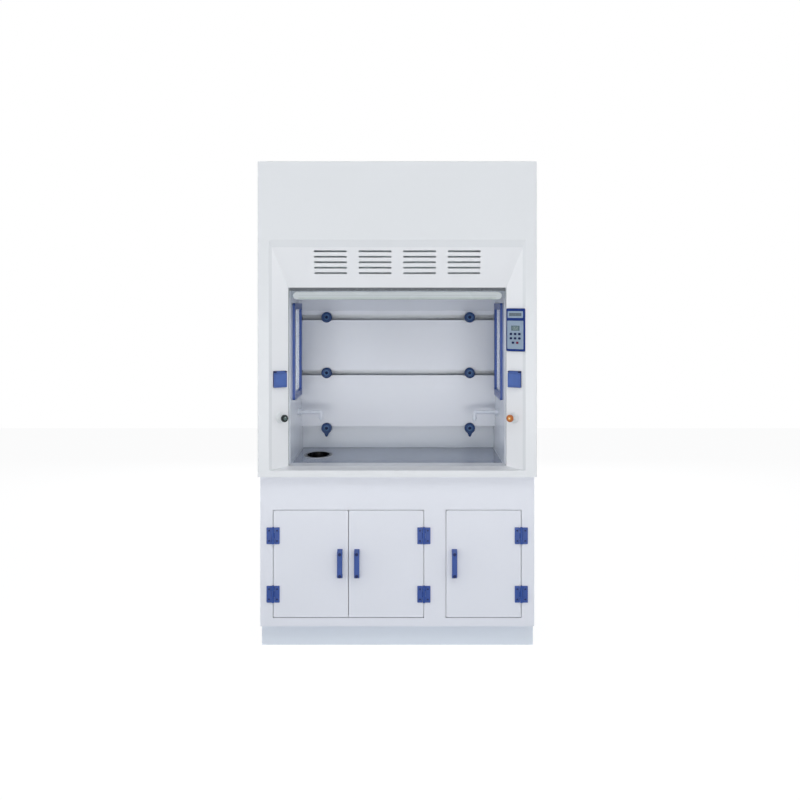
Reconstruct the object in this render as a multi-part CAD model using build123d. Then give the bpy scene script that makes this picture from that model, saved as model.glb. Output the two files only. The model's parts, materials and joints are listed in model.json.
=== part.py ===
from build123d import *
import math
import os

# A polypropylene fume hood on a base cabinet, in millimetres.
# X runs across, Y runs from the front to the back, Z is height above the floor.
# Most places are given as a depth behind the hood's front plane and a height above the floor.

# Upper hood
hood_width = 1250
hood_depth = 800
panel_sheet = 10
wall_sheet = 8
side_strip = 50
facing_run = 81
funnel_depth = 65
bottom_rim = 30
bottom_rise = 12
vent_rise = 213
opening_height = 808
wall_step = 4
rear_gap = 29
header_clearance = 75
edge_round = 3

# Base cabinet
base_height = 781
base_setback = 45
base_inset = 6
base_back_gap = 20
base_sheet = 12
plinth_height = 101
plinth_setback = 105
left_stile = 57
middle_stile = 97
right_stile = 58
bottom_rail = 38
top_rail = 154
shelf_height = 370
shelf_setback = 60

# Cabinet doors, hinges and handles
door_gap = 2.5
door_sheet = 18
door_corner = 5
hinge_height = 75
hinge_reach = 29.5
hinge_leaf = 5
knuckle_radius = 6
knuckle_clearance = 0.3
knuckle_gap = 0.4
hinge_pin_radius = 2.5
pin_clearance = 0.05
lower_hinge_inset = 105
upper_hinge_inset = 114
handle_height = 134
handle_width = 23.5
handle_projection = 36
handle_grip = 11
handle_foot = 20
handle_inset = 37

# Worktop, sill and cup sink
sill_lip = 3
sill_sheet = 20
sill_depth = 101
worktop_sheet = 20
bearer_width = 60
sink_wall_margin = 101
sink_rear_margin = 337
sink_flange_width = 140
sink_flange_length = 247
sink_flange_thickness = 3
sink_rim = 12
sink_wall = 4
sink_depth = 140
sink_taper = 13
sink_clearance = 0.5
spout_radius = 20
spout_length = 40
trap_radius = 32
trap_height = 110
waste_radius = 20

# Baffles and their holders
baffle_sheet = 6
plenum_depth = 67
baffle_rise = 119
lower_baffle_height = 258
upper_slot = 27
lower_slot = 25
middle_baffle_height = 255
top_baffle_foot = 20
top_baffle_run = 220
top_baffle_gap = 60
holder_radius = 26.5
holder_projection = 30
holder_tip = 42.5
holder_tail_radius = 7
holder_tail_root = 15
holder_tail_start = 19
holder_round = 5
holder_socket_radius = 8
holder_socket_depth = 12
holder_wall_margin = 128
standoff_radius = 8
standoff_clearance = 0.3
bottom_holder_drop = 9

# Side windows
window_setback = 213
window_rise = 288
window_rear_margin = 105
window_height = 453
window_bar = 30
window_rebate = 4
window_frame_thickness = 12
window_outer_proud = 3
window_pane = 6
pane_clearance = 0.3

# Lamp
lamp_wall_margin = 40
lamp_aperture = 110
lamp_cover_overlap = 12
lamp_cover_thickness = 5
lamp_housing_height = 60
lamp_housing_sheet = 2
tube_radius = 13
tube_pitch = 50

# Exhaust collar
collar_radius = 125
collar_wall = 4
collar_height = 40
collar_rear_margin = 200
collar_flange = 20
collar_clearance = 0.3

# Sash, its guides and belt drive
glass_thickness = 8
glass_play = 0.5
guide_width = 24
guide_step = 3
guide_rear_strip = 10.5
guide_engagement = 9
rest_drop = 55
sill_gap = 2
pane_overlap = 27
head_overlap = 19
upper_pane_rise = 2.5
glass_setback = 20
pulley_radius = 40
pulley_width = 10
belt_clearance = 0.3
belt_thickness = 1.6
belt_pitch = 20
belt_offset = 19
shaft_radius = 8
shaft_drop = 4
ceiling_drop = 30
carrier_height = 26
carrier_inset = 4
idler_clearance = 15
clamp_rise = 22
clamp_jaw = 1.8
weight_depth = 31
weight_width = 76
weight_height = 372
bearing_size = 44
bearing_thickness = 14
rail_height = 37
rail_depth = 29
rail_inset = 20
rail_floor = 8

# Vents in the top facing
vent_groups = 4
vent_rows = 5
vent_length = 148
vent_height = 8.5
vent_group_pitch = 200.6
vent_row_pitch = 24.3
vent_lift = 113.5

# Valves and service outlets
valve_rise = 223
valve_offset = -9.5
escutcheon_radius = 25
escutcheon_thickness = 7
stem_radius = 5
knob_cap = 8
valve_neck_radius = 9
valve_body_radius = 14
valve_body_length = 18
knob_radius = 16.5
knob_length = 16
knob_standoff = 24
knob_neck_radius = 12
knob_neck_length = 4
knob_flutes = 8
flute_radius = 3
flute_end = 3.5
knob_base_bevel = 1.5
knob_round = 2.5
knob_dish_radius = 9
knob_dish_depth = 2.5
stem_end_gap = 0.5
outlet_inset = 257
outlet_rise = 210
outlet_reach = 116
outlet_radius = 9.5
outlet_drop = 26
outlet_bend = 12
outlet_collar_radius = 17
outlet_collar_thickness = 8
outlet_nut_margin = 4
outlet_nut_length = 9.6
outlet_cap_margin = 2.5
outlet_cap_height = 9
nozzle_radius = 6
nozzle_barbs = 2
nozzle_barb_height = 6
nozzle_barb_step = 1.5

# Sockets
socket_rise = 398
socket_offset = -4
socket_width = 67
socket_length = 75
socket_base = 5
cover_thickness = 7
cover_gap = 0.4
cover_knuckle = 4
cover_pin_radius = 1.6
insert_radius = 20

# Control panel
panel_rise = 620
panel_offset = 1.4
bezel_width = 97
bezel_height = 194
bezel_thickness = 8
face_width = 87
face_height = 128
face_recess = 3
face_sheet = 2.4
face_margin = 10.5
header_width = 83
header_height = 31
header_recess = 1.2
display_width = 46
display_height = 23
display_rise = 30.5
key_radius = 5
key_clearance = 0.3
key_proud = 2
key_travel = 0.8
key_length = 4.6
key_pitch_x = 22.6
key_pitch_z = 19.7
key_rise = 24

# Sizes worked out from those above
half_width = hood_width / 2
funnel_half = half_width - side_strip
opening_half = funnel_half - facing_run
wall_half = opening_half - wall_step
funnel_bottom = base_height + bottom_rim
opening_bottom = funnel_bottom + bottom_rise
opening_top = opening_bottom + opening_height
funnel_top = opening_top + vent_rise
worktop_height = opening_bottom - sill_lip
valve_height = worktop_height + valve_rise
socket_height = worktop_height + socket_rise
panel_height = worktop_height + panel_rise
vent_centre = opening_top + vent_lift
facing_length = math.hypot(facing_run, funnel_depth)
facing_sine = funnel_depth / facing_length
facing_cosine = facing_run / facing_length
facing_middle = (funnel_half + opening_half) / 2
knob_reach = knob_standoff + knob_length
stem_reach = knob_reach - knob_cap
flutes_start = knob_standoff + knob_neck_length
knob_overhang = knob_reach * facing_cosine + knob_radius * facing_sine - funnel_depth / 2
front_y = -(hood_depth - knob_overhang) / 2
back_y = front_y + hood_depth
liner_setback = hood_depth - panel_sheet - rear_gap - wall_sheet
baffle_setback = liner_setback - plenum_depth - baffle_sheet
baffle_bottom = worktop_height + baffle_rise
bottom_rod_drop = max(0, standoff_radius + standoff_clearance - bottom_holder_drop)
holder_x = wall_half - holder_wall_margin
window_base = worktop_height + window_rise
window_width = baffle_setback - window_rear_margin - window_setback
outlet_setback = window_setback + outlet_inset
outlet_height = worktop_height + outlet_rise
sink_x = sink_wall_margin - wall_half
sink_setback = hood_depth - sink_rear_margin
collar_setback = hood_depth - collar_rear_margin

sash_travel = opening_height - rest_drop - sill_gap
rail_bottom = opening_top - rest_drop
lower_pane_bottom = rail_bottom + rail_floor
upper_pane_bottom = opening_top + upper_pane_rise
upper_pane_height = head_overlap - upper_pane_rise + sash_travel / 2
lower_pane_top = upper_pane_bottom + sash_travel / 2 + pane_overlap
lower_pane_height = lower_pane_top - lower_pane_bottom
upper_pane_top = upper_pane_bottom + upper_pane_height
glass_half = opening_half + guide_step + guide_engagement
shaft_setback = funnel_depth + glass_setback + pulley_radius
shaft_height = lower_pane_top + pulley_radius + shaft_drop
small_pulley_radius = pulley_radius / 2
lower_glass_setback = shaft_setback - pulley_radius
upper_glass_setback = shaft_setback - small_pulley_radius
guide_half = opening_half + guide_step
guide_outer = guide_half + guide_width
big_belt_x = guide_outer + belt_offset
small_belt_x = big_belt_x + belt_pitch
ceiling_height = shaft_height - ceiling_drop
hood_height = shaft_height + pulley_radius + header_clearance
lower_carrier_bottom = lower_pane_top - carrier_inset - carrier_height
upper_carrier_bottom = upper_pane_top - carrier_inset - carrier_height
idler_height = lower_carrier_bottom - sash_travel - pulley_radius - idler_clearance
clamp_bottom = idler_height + pulley_radius + clamp_rise
wall_setback = upper_glass_setback + glass_thickness / 2 + glass_play + guide_rear_strip
lamp_width = 2 * (wall_half - lamp_wall_margin)
lamp_setback = (wall_setback + wall_sheet + collar_setback - collar_radius - lamp_aperture) / 2
column_half = half_width - panel_sheet

base_half = half_width - base_inset
base_back = hood_depth - base_back_gap
carcass_front = base_setback + base_sheet
door_width = (2 * base_half - left_stile - middle_stile - right_stile - 5 * door_gap) / 3
door_height = base_height - plinth_height - bottom_rail - top_rail - 2 * door_gap
door_base = plinth_height + bottom_rail + door_gap
double_start = -base_half + left_stile
double_end = double_start + 2 * door_width + 3 * door_gap
single_start = double_end + middle_stile
single_end = single_start + door_width + 2 * door_gap
partition_x = (double_end + single_start) / 2
hinge_axis_setback = base_setback - knuckle_radius - knuckle_clearance


def slab(x0, x1, d0, d1, z0, z1):
    """Rectangular solid between two places across, two depths behind the front and two heights."""
    corner = ((x0 + x1) / 2, front_y + (d0 + d1) / 2, (z0 + z1) / 2)
    return Pos(*corner) * Box(abs(x1 - x0), abs(d1 - d0), abs(z1 - z0))


def rod(x0, x1, setback, height, radius):
    """Cylinder lying across the hood."""
    centre = ((x0 + x1) / 2, front_y + setback, height)
    return Pos(*centre) * Rot(0, 90, 0) * Cylinder(radius, abs(x1 - x0))


def post(x, setback, z0, z1, radius):
    """Upright cylinder."""
    return Pos(x, front_y + setback, (z0 + z1) / 2) * Cylinder(radius, z1 - z0)


def mirrored(shapes):
    """The given solids with their copies on the other side of the hood."""
    return list(shapes) + [mirror(shape, about=Plane.YZ) for shape in shapes]


def joined(shapes):
    """Several solids kept apart in one node."""
    return Compound(children=[solid for shape in shapes for solid in shape.solids()])


def soften(shape, radius, direction):
    """Round the edges of a solid that run along one axis."""
    return fillet(shape.edges().filter_by(direction), radius)


# Base cabinet


def make_plinth():
    """Set-back plinth of four upright boards, open below."""
    back = base_back - base_sheet
    front = slab(-base_half, base_half, plinth_setback, plinth_setback + base_sheet, 0, plinth_height)
    rear = slab(-base_half, base_half, back, base_back, 0, plinth_height)
    side = slab(base_half - base_sheet, base_half, plinth_setback + base_sheet, back, 0, plinth_height)
    return joined([front, rear] + mirrored([side]))


def sink_outline(margin):
    """Oval of the sink's cut-out or bowl, drawn around its centre; a positive margin makes it larger."""
    across = sink_flange_width / 2 - sink_rim + margin
    along = sink_flange_length / 2 - sink_rim + margin
    return Ellipse(across, along)


def make_base_carcass():
    """Welded floor, ends, back, partition, top, shelf and the bearers under the worktop."""
    inner = base_half - base_sheet
    back = base_back - base_sheet
    floor_top = plinth_height + base_sheet
    top_under = base_height - base_sheet
    left_of_partition = partition_x - base_sheet / 2
    right_of_partition = partition_x + base_sheet / 2
    floor = slab(-base_half, base_half, carcass_front, base_back, plinth_height, floor_top)
    end = slab(inner, base_half, carcass_front, base_back, floor_top, base_height)
    rear = slab(-inner, inner, back, base_back, floor_top, base_height)
    partition = slab(left_of_partition, right_of_partition, carcass_front, back, floor_top, top_under)
    shelf_front = carcass_front + shelf_setback
    shelf = slab(-inner, left_of_partition, shelf_front, back, shelf_height - base_sheet, shelf_height)
    top = slab(-inner, inner, carcass_front, back, top_under, base_height)
    sink_hole = extrude(Pos(sink_x, front_y + sink_setback, top_under - 1) * sink_outline(sink_rim), base_sheet + 2)
    bearer_top = worktop_height - worktop_sheet
    sill_rear = funnel_depth + sill_depth
    bearers = []
    for start in (sill_rear - bearer_width / 2, liner_setback - bearer_width):
        bearers.append(slab(-wall_half, wall_half, start, start + bearer_width, base_height, bearer_top))
    return joined([floor, rear, partition, shelf, top - sink_hole] + mirrored([end]) + bearers)


def make_base_front_frame():
    """Front board of the cabinet with one wide and one narrow door opening."""
    low = door_base - door_gap
    high = door_base + door_height + door_gap
    front, rear = base_setback, base_setback + base_sheet
    board = slab(-base_half, base_half, front, rear, plinth_height, base_height)
    wide = slab(double_start, double_end, front - 1, rear + 1, low, high)
    narrow = slab(single_start, single_end, front - 1, rear + 1, low, high)
    return board - wide - narrow


def door_places():
    """Name, free edge, hinge edge and side of the door's body from the hinge, for each door."""
    left = double_start + door_gap
    middle = left + door_width + door_gap
    right = single_start + door_gap
    return [
        ("left", left, left + door_width, 1),
        ("middle", middle, middle + door_width, -1),
        ("right", right, right + door_width, -1),
    ]


def hinge_heights():
    """Heights of the two hinges of a door."""
    return [door_base + lower_hinge_inset, door_base + door_height - upper_hinge_inset]


def hinge_axis_x(x0, x1, side):
    """Place of a door's hinge line, in the middle of the gap beside its hinge edge."""
    return x0 - door_gap / 2 if side > 0 else x1 + door_gap / 2


def hinge_part(axis_x, height, side, rows, bore):
    """One leaf with its knuckles; side points to the leaf, rows are the thirds that it carries."""
    third = hinge_height / 3
    bottom = height - hinge_height / 2
    leaf_front = base_setback - hinge_leaf
    clear = knuckle_radius + 2 * knuckle_clearance
    leaf = slab(axis_x + side * clear, axis_x + side * hinge_reach, leaf_front, base_setback, bottom,
                bottom + hinge_height)
    leaf = soften(leaf, hinge_leaf / 2, Axis.Y)
    body = leaf
    for row in rows:
        low = bottom + row * third + (knuckle_gap / 2 if row > 0 else 0)
        high = bottom + (row + 1) * third - (knuckle_gap / 2 if row < 2 else 0)
        bridge = slab(axis_x, axis_x + side * (clear + hinge_leaf), leaf_front, base_setback - knuckle_clearance,
                      low, high)
        body = body + bridge + post(axis_x, hinge_axis_setback, low, high, knuckle_radius)
    return body - post(axis_x, hinge_axis_setback, bottom - 1, bottom + hinge_height + 1, bore)


def make_handle(x):
    """Bow handle drawn from the side: two feet, sloping legs and a straight grip, rounded all over."""
    height = door_base + door_height / 2
    half = handle_height / 2
    slope = handle_foot * 0.6
    with BuildSketch(Plane.YZ) as side_view:
        with BuildLine():
            Polyline(
                (0, -half), (-handle_projection, -half + slope),
                (-handle_projection, half - slope), (0, half), close=True)
        make_face()
        fillet(side_view.vertices().sort_by(Axis.Y)[:2], handle_grip * 0.9)
        with BuildSketch(mode=Mode.PRIVATE) as hollow:
            with BuildLine():
                Polyline(
                    (1, -half + handle_foot), (-handle_projection + handle_grip, -half + handle_foot + slope / 2),
                    (-handle_projection + handle_grip, half - handle_foot - slope / 2), (1, half - handle_foot),
                    close=True)
            make_face()
            fillet(hollow.vertices().sort_by(Axis.X)[:2], handle_grip / 2)
        add(hollow.sketch, mode=Mode.SUBTRACT)
    bar = extrude(side_view.sketch, handle_width / 2, both=True)
    bar = Pos(x, front_y + base_setback, height) * bar
    grip_face = bar.faces().sort_by(Axis.Y)[0]
    return fillet(grip_face.edges(), 3)


def make_doors(nodes):
    """Three doors with their handles and hinge leaves, and the leaves and pins on the cabinet."""
    frame_leaves = []
    for name, x0, x1, side in door_places():
        panel = slab(x0, x1, base_setback, base_setback + door_sheet, door_base, door_base + door_height)
        panel = soften(panel, door_corner, Axis.Y)
        nodes["door_" + name] = fillet(panel.faces().sort_by(Axis.Y)[0].edges(), edge_round / 2)
        free_edge = x1 if side > 0 else x0
        fittings = [make_handle(free_edge - side * handle_inset)]
        axis_x = hinge_axis_x(x0, x1, side)
        for height in hinge_heights():
            bore = hinge_pin_radius + pin_clearance
            fittings.append(hinge_part(axis_x, height, side, [1], bore))
            frame_leaves.append(hinge_part(axis_x, height, -side, [0, 2], bore))
            pin_low = height - hinge_height / 2
            pin = post(axis_x, hinge_axis_setback, pin_low, pin_low + hinge_height, hinge_pin_radius)
            head = post(axis_x, hinge_axis_setback, pin_low + hinge_height, pin_low + hinge_height + 2,
                        knuckle_radius - 1)
            frame_leaves.append(pin + head)
        nodes["door_fittings_" + name] = joined(fittings)
    nodes["hinge_frame_leaves"] = joined(frame_leaves)


# Worktop, sill and sink


def make_worktop():
    """Solid worktop board with an oval cut-out for the cup sink."""
    board = slab(-wall_half, wall_half, funnel_depth + sill_depth, liner_setback,
                 worktop_height - worktop_sheet, worktop_height)
    cut = extrude(Pos(sink_x, front_y + sink_setback, worktop_height - worktop_sheet - 1) *
                  sink_outline(sink_clearance), worktop_sheet + 2)
    return board - cut


def make_sill():
    """Rounded sill under the sash, wider in front of the chamber walls to carry the guides."""
    top = opening_bottom
    low = top - sill_sheet
    rear = funnel_depth + sill_depth
    ears = slab(-guide_outer, guide_outer, funnel_depth, wall_setback, low, top)
    tongue = slab(-wall_half, wall_half, funnel_depth, rear, low, top)
    sill = ears + tongue
    rear_edge = sill.edges().filter_by(Axis.X).group_by(Axis.Z)[-1].sort_by(Axis.Y)[-1]
    return fillet(rear_edge, sill_lip - 0.2)


def make_cup_sink():
    """Oval cup with a flat flange, tapered walls and a spout below."""
    centre = Pos(sink_x, front_y + sink_setback, 0)
    bottom = worktop_height - sink_depth

    def bowl(inset, low):
        upper = centre * Pos(0, 0, worktop_height) * sink_outline(-inset)
        lower = centre * Pos(0, 0, low) * sink_outline(-inset - sink_taper)
        return loft([upper.face(), lower.face()])

    flange = extrude(centre * Pos(0, 0, worktop_height) *
                     Ellipse(sink_flange_width / 2, sink_flange_length / 2), sink_flange_thickness)
    flange = fillet(flange.faces().sort_by(Axis.Z)[-1].edges(), sink_flange_thickness * 0.6)
    mouth = extrude(centre * Pos(0, 0, worktop_height) * sink_outline(-sink_wall), sink_flange_thickness + 1)
    spout = post(sink_x, sink_setback, bottom - spout_length, bottom, spout_radius)
    bore = post(sink_x, sink_setback, bottom - spout_length - 1, bottom + sink_wall + 1, spout_radius - sink_wall)
    return bowl(0, bottom) + flange + spout - bowl(sink_wall, bottom + sink_wall) - mouth - bore


def make_sink_trap():
    """Bottle trap under the cup with its waste pipe to the cabinet's back."""
    top = worktop_height - sink_depth - spout_length
    bottom = top - trap_height
    cup = post(sink_x, sink_setback, bottom, top, trap_radius)
    cup = fillet(cup.faces().sort_by(Axis.Z)[0].edges(), trap_radius / 4)
    ring = post(sink_x, sink_setback, bottom + trap_height / 3, bottom + trap_height / 3 + 12, trap_radius + 4)
    pipe_height = top - waste_radius - 8
    rear = base_back - base_sheet
    pipe_y = front_y + (sink_setback + rear) / 2
    pipe = Pos(sink_x, pipe_y, pipe_height) * Rot(90, 0, 0) * Cylinder(waste_radius, rear - sink_setback)
    return cup + ring + pipe


# Chamber


def window_cut(x0, x1):
    """Opening of a side window through a board."""
    shrink = window_bar - window_rebate
    d0 = window_setback + shrink
    z0 = window_base + shrink
    return slab(x0, x1, d0, d0 + window_width - 2 * shrink, z0, z0 + window_height - 2 * shrink)


def make_chamber_side_walls():
    """Side walls with their window openings, and the boards that line the windows to the outer sides."""
    outer = wall_half + wall_sheet
    wall = slab(wall_half, outer, wall_setback, liner_setback, base_height, ceiling_height)
    wall = wall - window_cut(wall_half - 1, outer + 1)
    shrink = window_bar - window_rebate
    d0 = window_setback + shrink
    d1 = window_setback + window_width - shrink
    z0 = window_base + shrink
    z1 = window_base + window_height - shrink
    lining = [
        slab(outer, column_half, d0 - wall_sheet, d0, z0, z1),
        slab(outer, column_half, d1, d1 + wall_sheet, z0, z1),
        slab(outer, column_half, d0 - wall_sheet, d1 + wall_sheet, z0 - wall_sheet, z0),
        slab(outer, column_half, d0 - wall_sheet, d1 + wall_sheet, z1, z1 + wall_sheet),
    ]
    return joined(mirrored([wall] + lining))


def collar_hole(z0, z1):
    """Round hole for the exhaust collar."""
    return post(0, collar_setback, z0, z1, collar_radius + collar_clearance)


def make_chamber_shell():
    """Back wall, ceiling with its lamp and exhaust openings, and the board behind the raised sash."""
    outer = wall_half + wall_sheet
    back = slab(-outer, outer, liner_setback, liner_setback + wall_sheet, base_height, ceiling_height)
    ceiling = slab(-outer, outer, wall_setback, liner_setback + wall_sheet, ceiling_height,
                   ceiling_height + wall_sheet)
    lamp_hole = slab(-lamp_width / 2, lamp_width / 2, lamp_setback, lamp_setback + lamp_aperture,
                     ceiling_height - 1, ceiling_height + wall_sheet + 1)
    ceiling = ceiling - lamp_hole - collar_hole(ceiling_height - 1, ceiling_height + wall_sheet + 1)
    lintel = slab(-wall_half, wall_half, wall_setback, wall_setback + wall_sheet,
                  opening_top + head_overlap, ceiling_height)
    return joined([back, ceiling, lintel])


def slot_heights():
    """Bottom of the lower slot and of the upper slot between the baffles."""
    lower = baffle_bottom + lower_baffle_height
    return lower, lower + lower_slot + middle_baffle_height


def make_baffles():
    """Two upright baffle boards and an inclined one that leads up to the ceiling."""
    lower_slot_base, upper_slot_base = slot_heights()
    front, rear = baffle_setback, baffle_setback + baffle_sheet
    lower = slab(-wall_half, wall_half, front, rear, baffle_bottom, lower_slot_base)
    middle = slab(-wall_half, wall_half, front, rear, lower_slot_base + lower_slot, upper_slot_base)
    foot = upper_slot_base + upper_slot
    bend = foot + top_baffle_foot
    head = ceiling_height - top_baffle_gap
    slope = math.hypot(top_baffle_run, head - bend)
    thick = baffle_sheet * slope / (head - bend)
    outline = [(front, foot), (rear, foot), (rear, bend), (front + thick - top_baffle_run, head),
               (front - top_baffle_run, head), (front, bend)]
    points = [(-wall_half, front_y + setback, height) for setback, height in outline]
    top = extrude(Face(Wire.make_polygon(points)), 2 * wall_half, dir=(1, 0, 0))
    return joined([lower, middle, top])


def holder_heights():
    """Heights of the rows of baffle holders, from the lowest up."""
    lower_slot_base, upper_slot_base = slot_heights()
    return [baffle_bottom - bottom_holder_drop, lower_slot_base + lower_slot / 2,
            upper_slot_base + upper_slot / 2]


def make_baffle_holders():
    """Round holders over the slots and drop-shaped ones at the bottom edge, each on a rod from the back."""
    front = baffle_setback - holder_projection
    tail_end = holder_tail_radius - holder_tip
    tail = make_face(Polyline((-holder_tail_root, -holder_tail_start), (-holder_tail_radius, tail_end),
                              (holder_tail_radius, tail_end), (holder_tail_root, -holder_tail_start), close=True))
    tail += Pos(0, tail_end) * Circle(holder_tail_radius)
    holders = []
    for row, height in enumerate(holder_heights()):
        for x in (-holder_x, holder_x):
            outline = Circle(holder_radius)
            if row == 0:
                outline += tail
            place = Pos(x, front_y + baffle_setback, height) * Rot(90, 0, 0)
            head = extrude(outline, holder_projection)
            head = fillet(head.faces().sort_by(Axis.Z)[-1].edges(), holder_round)
            head = head - Pos(0, 0, holder_projection) * Cylinder(holder_socket_radius, 2 * holder_socket_depth)
            rod_length = liner_setback - baffle_setback
            rod_drop = bottom_rod_drop if row == 0 else 0
            head = head + Pos(0, -rod_drop, -rod_length / 2) * Cylinder(standoff_radius, rod_length)
            holders.append(place * head)
    return joined(holders)


def make_window_frames():
    """Flanged window frames, proud of the chamber walls inside and of the outer sides."""
    shrink = window_bar

    def frame(x0, x1):
        d0, d1 = window_setback, window_setback + window_width
        z0, z1 = window_base, window_base + window_height
        rim = soften(slab(x0, x1, d0, d1, z0, z1), 10, Axis.X)
        hole = soften(slab(x0 - 1, x1 + 1, d0 + shrink, d1 - shrink, z0 + shrink, z1 - shrink), 4, Axis.X)
        return rim - hole

    inner = frame(wall_half - window_frame_thickness, wall_half)
    outer = frame(half_width, half_width + window_outer_proud)
    return joined(mirrored([inner, outer]))


def make_window_panes():
    """Clear panes in the chamber walls and in the outer sides."""
    panes = []
    for face_x in (wall_half, column_half):
        pane = window_cut(face_x, face_x + window_pane)
        box = pane.bounding_box()
        panes.append(Pos(*box.center()) * Box(box.size.X, box.size.Y - 2 * pane_clearance,
                                              box.size.Z - 2 * pane_clearance))
    return joined(mirrored(panes))


def make_lamp():
    """Lamp tray above the ceiling with two fluorescent tubes and their end blocks."""
    half = lamp_width / 2 + lamp_cover_overlap
    d0 = lamp_setback - lamp_cover_overlap
    d1 = lamp_setback + lamp_aperture + lamp_cover_overlap
    low = ceiling_height + wall_sheet + lamp_cover_thickness
    tray = slab(-half, half, d0, d1, low, low + lamp_housing_height)
    wall = lamp_housing_sheet
    hollow = slab(-half + wall, half - wall, d0 + wall, d1 - wall, low - 1, low + lamp_housing_height - wall)
    middle = lamp_setback + lamp_aperture / 2
    height = low + lamp_housing_height / 2
    solids = [tray - hollow]
    for setback in (middle - tube_pitch / 2, middle + tube_pitch / 2):
        block = tube_radius * 2
        solids.append(rod(-half + wall + block, half - wall - block, setback, height, tube_radius))
        for side in (-1, 1):
            solids.append(slab(side * (half - wall), side * (half - wall - block), setback - tube_radius,
                               setback + tube_radius, height - tube_radius, low + lamp_housing_height - wall))
    return joined(solids)


def make_lamp_cover():
    """Glass that seals the lamp opening in the ceiling."""
    half = lamp_width / 2 + lamp_cover_overlap
    low = ceiling_height + wall_sheet
    return slab(-half, half, lamp_setback - lamp_cover_overlap, lamp_setback + lamp_aperture + lamp_cover_overlap,
                low, low + lamp_cover_thickness)


# Outer shell of the hood


def funnel_section(setback, grow=0):
    """Half width, bottom and top of the funnel at a depth; grow moves it outwards by a sheet thickness."""
    share = setback / funnel_depth
    side = grow * facing_length / funnel_depth
    below = grow * math.hypot(bottom_rise, funnel_depth) / funnel_depth
    above = grow * math.hypot(vent_rise, funnel_depth) / funnel_depth
    half = funnel_half - facing_run * share + side
    return half, funnel_bottom + bottom_rise * share - below, funnel_top - vent_rise * share + above


def funnel_face(setback, corners):
    """Flat face across the funnel at a depth, through the given places and heights."""
    return Face(Wire.make_polygon([(x, front_y + setback, z) for x, z in corners]))


def between_sections(corners_at):
    """Solid from the back of the front sheet to the funnel's inner edge."""
    sections = [funnel_face(setback, corners_at(setback)) for setback in (panel_sheet, funnel_depth)]
    return loft(sections, ruled=True)


def make_front_sheet():
    """Front sheet with a window whose edges slope like the facings behind it."""
    sheet = slab(-half_width, half_width, 0, panel_sheet, base_height, hood_height)
    sheet = soften(sheet, edge_round, Axis.Z)
    sections = []
    for setback in (-1, panel_sheet + 1):
        half, low, high = funnel_section(setback)
        sections.append(funnel_face(setback, [(-half, low), (half, low), (half, high), (-half, high)]))
    return sheet - loft(sections, ruled=True)


def side_corners(setback):
    """Corners of the right facing's section, mitred at both ends."""
    half, low, high = funnel_section(setback)
    half_out, low_out, high_out = funnel_section(setback, wall_sheet)
    return [(half, low), (half_out, low_out), (half_out, high_out), (half, high)]


def bottom_corners(setback):
    """Corners of the bottom facing's section."""
    half, low, _ = funnel_section(setback)
    half_out, low_out, _ = funnel_section(setback, wall_sheet)
    return [(-half, low), (half, low), (half_out, low_out), (-half_out, low_out)]


def top_corners(setback):
    """Corners of the top facing's section."""
    half, _, high = funnel_section(setback)
    half_out, _, high_out = funnel_section(setback, wall_sheet)
    return [(-half, high), (half, high), (half_out, high_out), (-half_out, high_out)]


def valve_places():
    """Side and offset along the facing of the water valve and the gas valve."""
    return [(-1, valve_offset), (1, valve_offset)]


def make_facings():
    """Side and bottom facings of the funnel, and the underside between the front sheet and the cabinet."""
    sides = [between_sections(side_corners)]
    left, right = sides[0].mirror(Plane.YZ), sides[0]
    facings = {-1: left, 1: right}
    for side, offset in valve_places():
        plane = facing_plane(side, offset, valve_height)
        hole = plane.location * Cylinder(valve_neck_radius + sink_clearance, 6 * wall_sheet)
        facings[side] = facings[side] - hole
    bottom = between_sections(bottom_corners)
    underside = slab(-column_half, column_half, panel_sheet, carcass_front, base_height, base_height + wall_sheet)
    return joined([facings[-1], facings[1], bottom, underside])


def make_vent_facing():
    """Sloping top facing with groups of round-ended vent slots."""
    facing = between_sections(top_corners)
    rise = math.degrees(math.atan2(vent_rise, funnel_depth))
    for group in range(vent_groups):
        for row in range(vent_rows):
            x = (group - (vent_groups - 1) / 2) * vent_group_pitch
            z = vent_centre + (row - (vent_rows - 1) / 2) * vent_row_pitch
            setback = funnel_depth * (funnel_top - z) / vent_rise
            place = Pos(x, front_y + setback, z) * Rot(180 - rise, 0, 0)
            cutter = extrude(SlotOverall(vent_length, vent_height), 3 * wall_sheet, both=True)
            facing = facing - place * cutter
    return facing


def make_hood_side_panels():
    """Outer side panels with their window openings."""
    panel = slab(column_half, half_width, panel_sheet, hood_depth, base_height, hood_height)
    panel = panel - window_cut(column_half - 1, half_width + 1)
    return joined(mirrored([panel]))


def make_hood_top_panel():
    """Roof with the hole for the exhaust collar."""
    roof = slab(-column_half, column_half, panel_sheet, hood_depth, hood_height - panel_sheet, hood_height)
    return roof - collar_hole(hood_height - panel_sheet - 1, hood_height + 1)


def make_hood_back_panel():
    """Outer back sheet."""
    return slab(-column_half, column_half, hood_depth - panel_sheet, hood_depth, base_height,
                hood_height - panel_sheet)


def make_exhaust_collar():
    """Round collar from the ceiling through the roof, with a flange on the roof."""
    top = hood_height + collar_height
    tube = post(0, collar_setback, ceiling_height, top, collar_radius)
    flange = post(0, collar_setback, hood_height, hood_height + collar_wall, collar_radius + collar_flange)
    bore = post(0, collar_setback, ceiling_height - 1, top + 1, collar_radius - collar_wall)
    return tube + flange - bore


# Sash and its drive


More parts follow.
